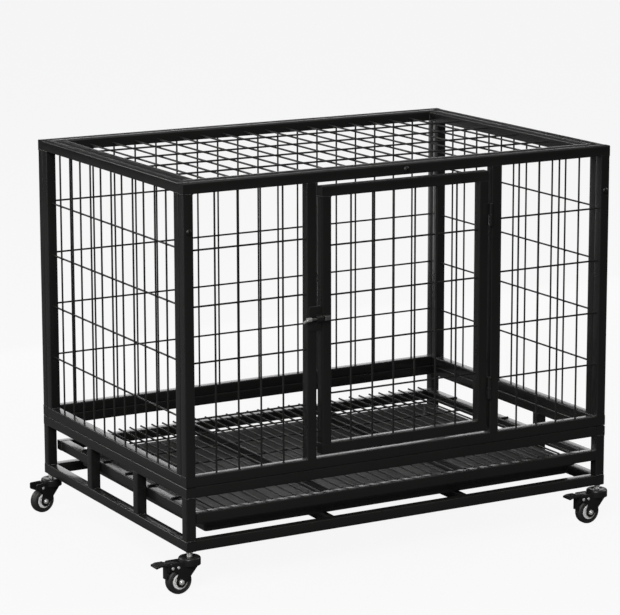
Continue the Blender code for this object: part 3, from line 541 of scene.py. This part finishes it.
makeFrames()
print("tube frames made")


# wire panels

# cells across each kind of panel and up all of them; the floor's wires keep a fixed pitch
wirePanels = {
    "wire": {"Wire Radius": 0.00182, "Nugget": 0.0023, "Wander": 0.00018},
    "rowCells": 5, "bayCells": 5, "doorCells": 7, "sideCells": 12, "roofCells": 17, "backCells": 19,
    "floorPitch": 0.025, "floorRowPitch": 0.100, "floorMargin": 0.028}


# across and up are the axes that the panel spans; columns run along up
def showWirePanel(node, across, up, columns, rows, columnSide, seed, name=None):
    low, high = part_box(node)
    depth = 3 - across - up
    axes = [Vector([float(i == axis) for i in range(3)]) for axis in (across, up)]
    normal = axes[0].cross(axes[1])
    mesh = bakeTree(wireMeshTree, {
        "Width": high[across] - low[across], "Height": high[up] - low[up],
        "Columns": columns[0], "Column Start": columns[1], "Column Pitch": columns[2],
        "Rows": rows[0], "Row Start": rows[1], "Row Pitch": rows[2],
        "Column Side": columnSide * normal[depth], "Seed": seed, "Coat": looks["wireCoat"], **wirePanels["wire"]})
    place = Matrix((*axes, normal)).transposed().to_4x4()
    place.translation = low
    place.translation[depth] = (low[depth] + high[depth]) / 2
    mesh.transform(place)
    showPiece(node, mesh, name)


# wires that divide the opening into even cells: how many, where the first lies, and their pitch
def evenCells(node, axis, cells):
    low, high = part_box(node)
    gap = tubeFrames["meshGap"]
    pitch = (high[axis] - low[axis] + 2 * gap) / cells
    return cells - 1, pitch - gap, pitch


# wires at a fixed pitch, centred on the panel
def evenPitch(node, axis, pitch):
    low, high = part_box(node)
    length = high[axis] - low[axis]
    count = int((length - wirePanels["floorMargin"]) / pitch)
    return count, (length - pitch * (count - 1)) / 2, pitch


def makeWirePanels():
    for seed, (node, across, up, cells) in enumerate((
            ("front_mesh_left", 0, 2, "bayCells"), ("front_mesh_right", 0, 2, "bayCells"),
            ("back_mesh", 0, 2, "backCells"), ("left_mesh", 1, 2, "sideCells"), ("right_mesh", 1, 2, "sideCells"),
            ("door_mesh", 0, 2, "doorCells"), ("roof_mesh", 0, 1, "roofCells"))):
        showWirePanel(
            node, across, up, evenCells(node, across, wirePanels[cells]),
            evenCells(node, up, wirePanels["rowCells"]), -1, seed)
    node = "floor_grille_wires"
    showWirePanel(
        node, 0, 1, evenPitch(node, 0, wirePanels["floorPitch"]), evenPitch(node, 1, wirePanels["floorRowPitch"]),
        1, 11, "floorWires")


makeWirePanels()
print("wire panels made")


# shapes shared by the small pieces

def arc(middle, radius, start, end, steps):
    angles = [math.radians(start + (end - start) * i / steps) for i in range(steps + 1)]
    return [(middle[0] + radius * math.cos(angle), middle[1] + radius * math.sin(angle)) for angle in angles]


def roundedRectangle(x0, x1, y0, y1, radius, steps):
    outline = []
    for x, y, turn in ((x1 - radius, y1 - radius, 0), (x0 + radius, y1 - radius, 90),
                       (x0 + radius, y0 + radius, 180), (x1 - radius, y0 + radius, 270)):
        outline += arc((x, y), radius, turn, turn + 90, steps)
    return outline


def easedEdges(width, steps, angle=40):
    return [("BEVEL", {
        "width": width, "segments": steps, "limit_method": "ANGLE", "angle_limit": math.radians(angle)})]


# an outline in the XZ plane, pulled along Y, its edges eased
def plateMesh(outline, start, end, edge=0.0004, steps=2):
    bm = bmesh.new()
    face = bm.faces.new([bm.verts.new((across, start, up)) for across, up in outline])
    for item in bmesh.ops.extrude_face_region(bm, geom=[face])["geom"]:
        if isinstance(item, bmesh.types.BMVert):
            item.co.y = end
    bmesh.ops.recalc_face_normals(bm, faces=bm.faces)
    return evaluatedMesh(bm, easedEdges(edge, steps), 50)


def moved(mesh, matrix):
    mesh.transform(matrix)
    return mesh


# turned about an axis through the origin, then moved
def placed(mesh, place=(0, 0, 0), degrees=0, axis="X"):
    return moved(mesh, Matrix.Translation(place) @ Matrix.Rotation(math.radians(degrees), 4, axis))


# (radius, height) points of a dome over a straight rim
def domeCurve(radius, height, rim, angles):
    return [(radius * math.cos(math.radians(a)), rim + (height - rim) * math.sin(math.radians(a))) for a in angles]


def repeated(mesh, count, step, look):
    return bakeTree(repeatTree, {
        "Count": count, "Step X": step[0], "Step Y": step[1], "Step Z": step[2], "Coat": looks[look]}, mesh)


def boxMiddle(node):
    low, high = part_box(node)
    return [(low[i] + high[i]) / 2 for i in range(3)]


# tray: one moulded sheet with a turned-down edge, a flat lip, a drafted wall and shallow stiffening ribs

# the profile's points are (inset, drop) below the top or (inset, rise) above the floor or the underside
tray = {
    "corner": 0.016, "innerCorner": 0.006, "cornerSteps": 8, "sheet": 0.0022,
    "ribs": 7, "ribWidth": 0.012, "ribInset": 0.09, "ribEnd": 0.035, "ribSink": 0.0010, "ribRise": 0.0009,
    "lip": ((0.0003, 0.0046), (0.0, 0.0040), (0.0, 0.0016), (0.0005, 0.0005), (0.0017, 0.0),
            (0.0102, 0.0), (0.0113, 0.0004), (0.0121, 0.0013), (0.0126, 0.0028)),
    "foot": ((0.0150, 0.0048), (0.0156, 0.0022), (0.0168, 0.0007), (0.0195, 0.0)),
    "underFoot": ((0.0195, 0.0), (0.0160, 0.0004), (0.0142, 0.0018), (0.0130, 0.0046)),
    "underLip": ((0.0105, 0.0036), (0.0098, 0.0026), (0.0086, 0.0022), (0.0034, 0.0022),
                 (0.0025, 0.0030), (0.0022, 0.0046))}


def trayLoop(bm, low, high, inset, level):
    outline = roundedRectangle(
        low[0] + inset, high[0] - inset, low[1] + inset, high[1] - inset,
        max(tray["corner"] - inset, tray["innerCorner"]), tray["cornerSteps"])
    return [bm.verts.new((*place, level)) for place in outline]


def makeTray():
    low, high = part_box("tray")
    top, bottom = high[2], low[2]
    floor = bottom + tray["sheet"]
    inside = [(inset, top - drop) for inset, drop in tray["lip"]]
    inside += [(inset, floor + rise) for inset, rise in tray["foot"]]
    under = [(inset, bottom + rise) for inset, rise in tray["underFoot"]]
    under += [(inset, top - drop) for inset, drop in tray["underLip"]]
    bm = bmesh.new()
    loops = [trayLoop(bm, low, high, inset, level) for inset, level in inside + under]
    floorLoop, undersideLoop = loops[len(inside) - 1:len(inside) + 1]
    count = len(floorLoop)
    for first, second in zip(loops, loops[1:] + loops[:1]):
        if first is not floorLoop:
            for i in range(count):
                bm.faces.new((first[i], first[(i + 1) % count], second[(i + 1) % count], second[i]))
    bm.faces.new(floorLoop)
    bm.faces.new(undersideLoop)
    bmesh.ops.recalc_face_normals(bm, faces=bm.faces)
    pan = evaluatedMesh(bm, smoothAngle=32)
    first, half = low[0] + tray["ribInset"], tray["ribWidth"] / 2
    rib = barMesh(
        (first - half, low[1] + tray["ribEnd"], floor - tray["ribSink"]),
        (first + half, high[1] - tray["ribEnd"], floor + tray["ribRise"]), tray["ribRise"])
    step = (high[0] - low[0] - 2 * tray["ribInset"]) / (tray["ribs"] - 1)
    ribs = repeated(rib, tray["ribs"], (step, 0, 0), "trayPlastic")
    showPiece("tray", dressedMesh([(pan, "trayPlastic"), (ribs, "trayPlastic")]))


makeTray()
print("tray made")


# panel screws: blackened domes with a round socket

screws = {
    "radius": 0.0060, "rim": 0.0004, "dome": 0.0035, "socket": 0.0019, "socketFoot": 0.0016, "socketDepth": 0.0020}


def makeScrews():
    radius, rim, dome = screws["radius"], screws["rim"], screws["dome"]
    deep = dome - screws["socketDepth"]
    head = latheMesh([
        (0.0, 0.0), (radius, 0.0), *domeCurve(radius, dome, rim, (0, 12, 24, 36, 48, 60, 70)),
        (screws["socket"], dome - 0.00006), (screws["socketFoot"], deep + 0.0002), (0.0, deep)], 36)
    for node in ("panel_screw_left", "panel_screw_right", "panel_screw_top"):
        x, _, z = boxMiddle(node)
        screw = placed(head.copy(), (x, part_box(node)[1][1], z), 90)
        showPiece(node, dressedMesh([(screw, "blackenedZinc")]))


makeScrews()
print("screws made")


# hinges: turned barrels welded on by folded leaves; the post's half carries the pin

hinges = {
    "radius": 0.0037, "ease": 0.0004, "postBarrel": 0.0220, "pin": 0.0018, "pinFoot": 0.001, "leaf": 0.0020,
    "leafRoot": 0.6, "leafReach": 0.0140, "leafEase": 0.0006, "weldStart": 0.005, "weldSink": 0.0004,
    "weldTrim": 0.001}


def makeHingeHalf(node, side):
    radius, ease, pin = hinges["radius"], hinges["ease"], hinges["pin"]
    low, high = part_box(node)
    axis = (low[0] + radius if side > 0 else high[0] - radius, low[1] + radius, 0)
    bottom, seat = low[2], high[1]
    top = bottom + (hinges["postBarrel"] if side > 0 else high[2] - low[2])
    barrel = latheMesh([
        (0.0, bottom), (radius - ease, bottom), (radius, bottom + ease), (radius, top - ease),
        (radius - ease, top), (pin, top), (pin, top - 0.0002), (0.0, top - 0.0002)], 36)
    root, end = axis[0] + side * radius * hinges["leafRoot"], axis[0] + side * hinges["leafReach"]
    leaf = barMesh(
        (min(root, end), seat - hinges["leaf"], bottom), (max(root, end), seat, top),
        hinges["leafEase"])
    start, weld, trim = axis[0] + side * hinges["weldStart"], seat - hinges["weldSink"], hinges["weldTrim"]
    welds = beadMesh([((end, weld, bottom + trim), (end, weld, top - trim))] + [
        ((start, weld, level), (end, weld, level)) for level in (top, bottom)], "hinge")
    parts = [(placed(barrel, axis), "powderCoat"), (leaf, "powderCoat"), (welds, "powderCoat")]
    if side > 0:
        foot, tip = top - hinges["pinFoot"], high[2]
        rod = latheMesh([
            (0.0, foot), (pin, foot), (pin, tip - ease), (pin - ease, tip), (0.0, tip)], 24)
        parts.append((placed(rod, axis), "zincPlate"))
    showPiece(node, dressedMesh(parts))


for level in ("lower", "upper"):
    makeHingeHalf(f"hinge_{level}_post_half", 1)
    makeHingeHalf(f"hinge_{level}_door_half", -1)
print("hinges made")


# slide latch: a plate with a pressed guide, a bolt with a collar and a bent thumb piece, a strap for its tip

latch = {
    "plate": 0.0017, "plateCorner": 0.003, "guideSheet": 0.0016, "guideLength": 0.0120, "footReach": 0.0075,
    "throat": 0.0030, "weldSink": 0.0005, "boltRadius": 0.0025, "boltDepth": 0.0062, "rodLength": 0.0313,
    "collarRadius": 0.0042, "collarLength": 0.0100, "collarEase": 0.0007, "collarBack": 0.4,
    "keeperSheet": 0.0014}


# half profiles of (reach, depth), mirrored about z and pulled along X
def strapMesh(outer, inner, z, start, end):
    outline = []
    for half, step in ((outer, 1), (inner, -1)):
        whole = [(z - reach, depth) for reach, depth in half] + [(z + reach, depth) for reach, depth in half[::-1]]
        outline += whole[::step]
    swapAxes = Matrix(((0, 1, 0, 0), (0, 0, 1, 0), (1, 0, 0, 0), (0, 0, 0, 1)))
    return moved(plateMesh(outline, start, end, 0.0003), swapAxes)


def makeLatchHousing():
    low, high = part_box("latch_housing")
    face, seat, corner = low[1], high[1], latch["plateCorner"]
    plateFace = seat - latch["plate"]
    plateOutline = roundedRectangle(low[0], high[0], low[2], high[2], corner, 6)
    plate = plateMesh(plateOutline, plateFace, seat)
    wide, throat, sheet = latch["footReach"], latch["throat"], latch["guideSheet"]
    side = throat + sheet
    outer = [
        (wide, plateFace), (wide, plateFace - sheet), (side + 0.0005, plateFace - sheet),
        (side, plateFace - sheet - 0.0006), (side, face + 0.0024), (side - 0.0007, face + 0.0008),
        (side - 0.0022, face)]
    inner = [(throat, plateFace), (throat, face + sheet + 0.0014), (throat - 0.0012, face + sheet)]
    z = boxMiddle("latch_housing")[2]
    guide = strapMesh(outer, inner, z, high[0] - latch["guideLength"], high[0])
    weld = seat - latch["weldSink"]
    welds = beadMesh([
        ((low[0] + corner, weld, level), (high[0] - corner, weld, level)) for level in (low[2], high[2])], "latch")
    parts = [(mesh, "powderCoat") for mesh in (plate, guide, welds)]
    showPiece("latch_housing", dressedMesh(parts))


def makeLatchBolt():
    low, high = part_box("latch_bolt")
    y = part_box("latch_housing")[1][1] - latch["boltDepth"]
    z = boxMiddle("latch_housing")[2]
    tip = high[0]
    bend = tip - latch["rodLength"]
    radius = latch["boltRadius"]
    rod = latheMesh([
        (0.0, bend), (radius, bend), (radius, tip - 0.0007), (radius - 0.0002, tip - 0.0003),
        (radius - 0.0008, tip), (0.0, tip)], 32)
    shape = bpy.data.curves.new("latchThumbPath", "CURVE")
    shape.dimensions = "3D"
    shape.bevel_depth = radius
    shape.bevel_resolution = 7
    shape.use_fill_caps = True
    spline = shape.splines.new("BEZIER")
    path = [(bend + 0.0030, y, z), (bend, y, z), (bend - 0.0055, y - 0.0006, z - 0.0019),
            (low[0] + 0.0010, y - 0.0013, z - 0.0046)]
    spline.bezier_points.add(len(path) - 1)
    for point, spot in zip(spline.bezier_points, path):
        point.co = spot
        point.handle_left_type = point.handle_right_type = "AUTO"
    thumb = evaluatedMesh(shape, smoothAngle=50)
    bore, wide, length, ease = radius - 0.0002, latch["collarRadius"], latch["collarLength"], latch["collarEase"]
    collar = latheMesh([
        (bore, 0.0), (wide - ease, 0.0), (wide, ease), (wide, length - ease), (wide - ease, length),
        (bore, length)], 36, closed=True)
    # the straight rod takes the darker steel as painted shade; the thumb and collar keep the bolt's zinc
    parts = [
        (placed(rod, (0, y, z), 90, "Y"), "keeperSteelAndRodShade"), (thumb, "dullZinc"),
        (placed(collar, (bend - length * latch["collarBack"], y, z), 90, "Y"), "dullZinc")]
    showPiece("latch_bolt", dressedMesh(parts))


def makeLatchKeeper():
    low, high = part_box("latch_keeper")
    reach, face, seat, sheet = (high[2] - low[2]) / 2, low[1], high[1], latch["keeperSheet"]
    inside = reach - sheet
    outer = [(reach, seat), (reach, face + 0.0020), (reach - 0.0006, face + 0.0006), (reach - 0.0020, face)]
    inner = [(inside, seat), (inside, face + sheet + 0.0010), (inside - 0.0010, face + sheet)]
    strap = strapMesh(outer, inner, boxMiddle("latch_keeper")[2], low[0], high[0])
    showPiece("latch_keeper", dressedMesh([(strap, "keeperSteelAndRodShade")]))


makeLatchHousing()
makeLatchBolt()
makeLatchKeeper()
print("latch made")


# casters: everything is drawn about the stem, with the wheel trailing along X, then turned to its place

casters = {
    "steps": 72, "trail": 0.0235, "wheelRadius": 0.0250, "innerWidth": 0.0218, "sheet": 0.0018,
    "cupRadius": 0.0211, "cupTop": 0.0685, "cupBottom": 0.0530, "cupRound": 0.0042, "crown": 0.0630,
    "front": -0.0140, "bridgeEnd": 0.0229, "bridgeEase": 0.0008, "pinU": 0.0405, "pinZ": 0.0534,
    "pinEar": 0.0045, "rivetU": 0.0285, "rivetRadius": 0.0029, "rivetHeight": 0.0013, "rivetRim": 0.0003,
    "earRadius": 0.0100, "nutFit": 0.98, "nutWidth": 0.0032, "nutGap": 0.0003, "axleReach": 0.0045,
    "threads": 7, "threadPitch": 0.0010}


def casterPlace(corner):
    stem, axle = boxMiddle(f"{corner}_caster_stem"), boxMiddle(f"{corner}_caster_axle")
    heading = math.atan2(axle[1] - stem[1], axle[0] - stem[0])
    return Matrix.Translation((stem[0], stem[1], 0)) @ Matrix.Rotation(heading, 4, "Z")


# half a profile of (radius, side) points, mirrored and turned about the axle
def wheelMesh(half, smoothAngle):
    otherHalf = [(radius, -side) for radius, side in half[::-1] if side]
    return placed(latheMesh(half + otherHalf, casters["steps"], True, smoothAngle), degrees=90)


def tyreMesh():
    r = casters["wheelRadius"]
    return wheelMesh([
        (0.0153, 0.0086), (0.0158, 0.0090), (0.0192, 0.0090), (0.0196, 0.0087), (0.0200, 0.0087),
        (0.0204, 0.0090), (0.0212, 0.0089), (0.0226, 0.0083), (0.0237, 0.0072), (0.0245, 0.0058),
        (r, 0.0036), (r, 0.0004), (r - 0.0001, 0.0)], 30)


def hubMesh():
    return wheelMesh([
        (0.0032, 0.0096), (0.0036, 0.0100), (0.0061, 0.0100), (0.0065, 0.0096), (0.0067, 0.0058),
        (0.0073, 0.0050), (0.0098, 0.0050), (0.0105, 0.0056), (0.0112, 0.0084), (0.0117, 0.0090),
        (0.0146, 0.0090), (0.0150, 0.0086)], 35)


# a hexagon bolt head on one side, a nut and the bolt's end on the other
def axleMesh(low, high):
    radius, width = (high[2] - low[2]) / 2 * casters["nutFit"], casters["nutWidth"]
    cheek = casters["innerWidth"] / 2 + casters["sheet"]
    bm = bmesh.new()
    for side in (1, -1):
        middle = Matrix.Translation((0, side * (cheek + casters["nutGap"] + width / 2), 0))
        bmesh.ops.create_cone(
            bm, cap_ends=True, segments=6, radius1=radius, radius2=radius, depth=width,
            matrix=middle @ Matrix.Rotation(math.pi / 2, 4, "X"))
    nuts = evaluatedMesh(bm, easedEdges(0.0006, 2, 70))
    end = cheek + casters["axleReach"]
    rod = latheMesh([
        (0.0, end), (0.0022, end), (0.0028, end - 0.0006), (0.0028, 0.0006 - end), (0.0022, -end), (0.0, -end)], 32)
    return [(nuts, "zincPlate"), (placed(rod, degrees=90), "zincPlate")]


def cheekOutline():
    axle, pin = (casters["trail"], casters["wheelRadius"]), (casters["pinU"], casters["pinZ"])
    front, crown, rear, ear = casters["front"], casters["crown"], pin[0] + casters["pinEar"], casters["earRadius"]
    return [
        (front, crown), (front, casters["cupBottom"] + 0.0018), *arc(axle, ear, 220, 370, 20),
        (axle[0] + ear / 2 + 0.0005, pin[1] - 0.0100), (pin[0] - 0.0025, pin[1] - 0.0062),
        *arc(pin, casters["pinEar"], 290, 360, 6), (rear, crown - 0.0018), (rear - 0.0018, crown)]


def rivetHead(side, u, reach):
    radius, height = casters["rivetRadius"], casters["rivetHeight"]
    curve = domeCurve(radius, height, casters["rivetRim"], range(0, 90, 15))
    dome = latheMesh([(0.0, 0.0), (radius, 0.0), *curve, (0.0, height)], 24)
    return placed(dome, (u, side * reach, casters["pinZ"]), -side * 90), "zincPlate"


# two cheeks, the bridge between them, and the round swivel cup
def forkMesh():
    inner = casters["innerWidth"] / 2
    outer = inner + casters["sheet"]
    parts = []
    for side in (1, -1):
        start, end = sorted((side * inner, side * outer))
        parts.append((plateMesh(cheekOutline(), start, end, 0.0005, 3), "casterBlack"))
        parts.append(rivetHead(side, casters["rivetU"], outer - 0.0001))
    radius, top, bottom = casters["cupRadius"], casters["cupTop"], casters["cupBottom"]
    reach = outer - 0.0002
    bridge = barMesh(
        (casters["front"], -reach, bottom), (casters["bridgeEnd"], reach, casters["crown"]),
        casters["bridgeEase"])
    crease, ease = radius - 0.0007, casters["cupRound"]
    cup = latheMesh([
        (0.0056, bottom), (radius - 0.0010, bottom), (radius - 0.0002, bottom + 0.0005), (radius, bottom + 0.0012),
        (radius, bottom + 0.0052), (crease, bottom + 0.0055), (crease, bottom + 0.0061), (radius, bottom + 0.0064),
        *arc((radius - ease, top - ease), ease, 0, 90, 7),
        (0.0105, top), (0.0095, top - 0.0006), (0.0056, top - 0.0006)], casters["steps"], True, 35)
    return parts + [(bridge, "casterBlack"), (cup, "casterBlack")]


def stemMesh(low, high):
    bottom, top = low[2], high[2]
    stem = latheMesh([
        (0.0, top), (0.0061, top), (0.0065, top - 0.0004), (0.0065, top - 0.0026), (0.0061, top - 0.0030),
        (0.0046, top - 0.0030), (0.0046, bottom + 0.0022), (0.0070, bottom + 0.0020), (0.0066, bottom + 0.0004),
        (0.0052, bottom), (0.0, bottom)], 40)
    ring = latheMesh([
        (0.0045, -0.00045), (0.0050, -0.0001), (0.0050, 0.0001), (0.0045, 0.00045)], 32, closed=True)
    placed(ring, (0, 0, casters["cupTop"] - 0.0002))
    threads = repeated(ring, casters["threads"], (0, 0, casters["threadPitch"]), "zincPlate")
    return [(stem, "zincPlate"), (threads, "zincPlate")]


# outlines are (along, up) from the pedal's pin
brakePedal = {
    "armWidth": 0.0170, "treadWidth": 0.0260, "ribs": 6, "ribStep": 0.0024, "pinRadius": 0.0022, "pinReach": 0.0130,
    "lever": [
        (-0.0149, 0.0075), (-0.0032, 0.0059), *arc((0, 0), 0.0032, 180, 300, 8), (0.0088, 0.0), (0.0088, -0.0224),
        (0.0106, -0.0224), (0.0106, 0.0059), (0.0250, 0.0075), (0.0132, 0.0091), (-0.0149, 0.0091)],
    "gusset": [(0.0020, -0.0070), (0.0092, -0.0100), (0.0092, 0.0062), (0.0020, 0.0062)],
    "tread": [
        (0.0100, 0.0055), (0.0250, 0.0055), (0.0335, 0.0030), (0.0335, 0.0070), (0.0250, 0.0095), (0.0100, 0.0095)]}


def pedalMesh():
    u, z = casters["pinU"], casters["pinZ"]
    arm, wide = brakePedal["armWidth"] / 2, brakePedal["treadWidth"] / 2
    parts = []
    for name, reach, edge, steps in (
            ("lever", arm, 0.0004, 2), ("gusset", arm + 0.0008, 0.0004, 2), ("tread", wide, 0.0009, 3)):
        outline = [(u + along, z + up) for along, up in brakePedal[name]]
        parts.append((plateMesh(outline, -reach, reach, edge, steps), "casterBlack"))
    reach = wide - 0.0025
    rib = barMesh((u + 0.0112, -reach, z + 0.0088), (u + 0.0124, reach, z + 0.0100), 0.0004, 2)
    ribs = repeated(rib, brakePedal["ribs"], (brakePedal["ribStep"], 0, 0), "casterBlack")
    radius, end = brakePedal["pinRadius"], brakePedal["pinReach"]
    pin = placed(latheMesh([(0.0, -end), (radius, -end), (radius, end), (0.0, end)], 24), (u, 0, z), 90)
    heads = [rivetHead(side, u, end - 0.0001) for side in (1, -1)]
    return parts + [(ribs, "casterBlack"), (pin, "zincPlate"), *heads]


def makeCasters():
    for corner in cornerNames:
        place = casterPlace(corner)
        wheel = place @ Matrix.Translation((casters["trail"], 0, casters["wheelRadius"]))
        plans = [
            ("tyre", "caster_tyre", [(tyreMesh(), "tyreRubber")], wheel, "tyre_rubber"),
            ("hub", "caster_hub", [(hubMesh(), "hubGrey")], wheel, "hub_grey"),
            ("axle", "caster_axle", axleMesh(*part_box(f"{corner}_caster_axle")), wheel, "bright_zinc"),
            ("fork", "caster_fork", forkMesh(), place, "caster_black"),
            ("stem", "caster_stem", stemMesh(*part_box(f"{corner}_caster_stem")), place, "bright_zinc")]
        if f"{corner}_brake_pedal" in frame["nodes"]:
            plans.append(("pedal", "brake_pedal", pedalMesh(), place, "caster_black"))
        for word, node, parts, where, slotName in plans:
            mesh = moved(dressedMesh(parts), where)
            showPiece(f"{corner}_{node}", mesh, camelName(f"{word}_{corner}"))


makeCasters()
print("casters made")


# camera, as the photograph was taken

photoCamera = {
    "place": (-2.59935, -4.5756, 1.5457), "turn": (79.392, 0.111, -29.490), "lens": 155.776, "shiftY": -0.100,
    "sensorWidth": 36.0, "clipEnd": 60.0}


def makeCamera():
    lens = bpy.data.cameras.new("photoCamera")
    lens.lens = photoCamera["lens"]
    lens.sensor_width = photoCamera["sensorWidth"]
    lens.shift_y = photoCamera["shiftY"]
    lens.clip_end = photoCamera["clipEnd"]
    camera = linked("photoCamera", lens)
    camera.location = photoCamera["place"]
    camera.rotation_euler = [math.radians(angle) for angle in photoCamera["turn"]]
    bpy.context.scene.camera = camera
    bpy.context.scene.view_settings.view_transform = "Standard"


# pale studio floor and soft light: the camera sees both sky and floor nearly white,
# while the black coat mirrors a dim room

studio = {
    "floorSize": 60.0, "floorRoughness": 0.8, "seenFloor": 0.91, "shadowFloor": 0.045, "roomFloor": 0.09,
    "seenSky": 0.94, "roomSky": 0.05,
    "lamps": (
        ("keySoftbox", (-3.2, -3.6, 3.4), (0, 0, 0.4), (2.2, 2.2), 255.0),
        ("leftSoftbox", (-3.6, 1.4, 1.2), (0, 0, 0.4), (2.2, 2.2), 26.0),
        ("topSoftbox", (0.4, -0.4, 4.0), (0, 0, 0.4), (3.0, 3.0), 26.0),
        ("backSoftbox", (-3.4, 4.4, 2.8), (0, 0, 0.4), (2.2, 2.2), 80.0),
        ("rightSoftbox", (4.0, -0.2, 2.6), (0, 0, 0.4), (2.2, 2.2), 60.0),
        ("lowBackPanel", (0.95, 1.75, 0.48), (0.95, 0.0, 0.48), (2.4, 0.76), 8.5),
    )}


def grey(value):
    return (value, value, value, 1)


# one shader for what the camera sees directly, another for what lights and mirrors
def splitByRay(tree, room, seen, output):
    ray = newNode(tree, "ShaderNodeLightPath", (0, 300))
    blend = newNode(tree, "ShaderNodeMixShader", (400, 0))
    for socket, source in zip(blend.inputs, (ray.outputs["Is Camera Ray"], room, seen)):
        feed(tree, socket, source)
    feed(tree, tree.nodes[output].inputs["Surface"], blend)


def makeFloorMaterial():
    material = bpy.data.materials.new("paleFloor")
    material.use_nodes = True
    tree = material.node_tree
    room = tree.nodes["Principled BSDF"]
    setSockets(room, {"Base Color": grey(studio["roomFloor"]), "Roughness": studio["floorRoughness"]})
    glow = newNode(tree, "ShaderNodeEmission", (0, -300))
    setSockets(glow, {"Strength": studio["seenFloor"]})
    shade = newNode(tree, "ShaderNodeBsdfDiffuse", (0, -500))
    setSockets(shade, {"Color": grey(studio["shadowFloor"])})
    seen = newNode(tree, "ShaderNodeAddShader", (200, -400))
    feed(tree, seen.inputs[0], glow)
    feed(tree, seen.inputs[1], shade)
    splitByRay(tree, room, seen, "Material Output")
    return material


def makeSky():
    world = bpy.data.worlds.new("studioSky")
    world.use_nodes = True
    tree = world.node_tree
    room = tree.nodes["Background"]
    seen = newNode(tree, "ShaderNodeBackground", (0, -200))
    for sky, strength in ((room, "roomSky"), (seen, "seenSky")):
        setSockets(sky, {"Color": grey(1), "Strength": studio[strength]})
    splitByRay(tree, room, seen, "World Output")
    bpy.context.scene.world = world


def makeStudio():
    bm = bmesh.new()
    bmesh.ops.create_grid(bm, x_segments=1, y_segments=1, size=studio["floorSize"] / 2)
    floor = linked("studioFloor", meshFrom(bm))
    floor.data.materials.append(makeFloorMaterial())
    makeSky()
    for name, place, target, size, power in studio["lamps"]:
        light = bpy.data.lights.new(name, "AREA")
        light.shape = "RECTANGLE"
        light.size, light.size_y = size
        light.energy = power
        lamp = linked(name, light)
        lamp.location = place
        lamp.rotation_euler = (Vector(target) - Vector(place)).to_track_quat("-Z", "Y").to_euler()
        lamp.visible_camera = False


makeCamera()
makeStudio()
print("camera and studio made")

# the CAD nodes take a finish by their slot
slotLooks = {
    "black_powder_coat": "powderCoat", "black_wire_coat": "wireCoat", "bright_zinc": "zincPlate",
    "tray_plastic": "trayPlastic", "caster_black": "casterBlack", "tyre_rubber": "tyreRubber",
    "hub_grey": "hubGrey"}
for subpart in frame["record"]["subparts"]:
    node = frame["nodes"][subpart["node"]]
    node.data.materials.clear()
    node.data.materials.append(looks[slotLooks[subpart["material_slot"]]])
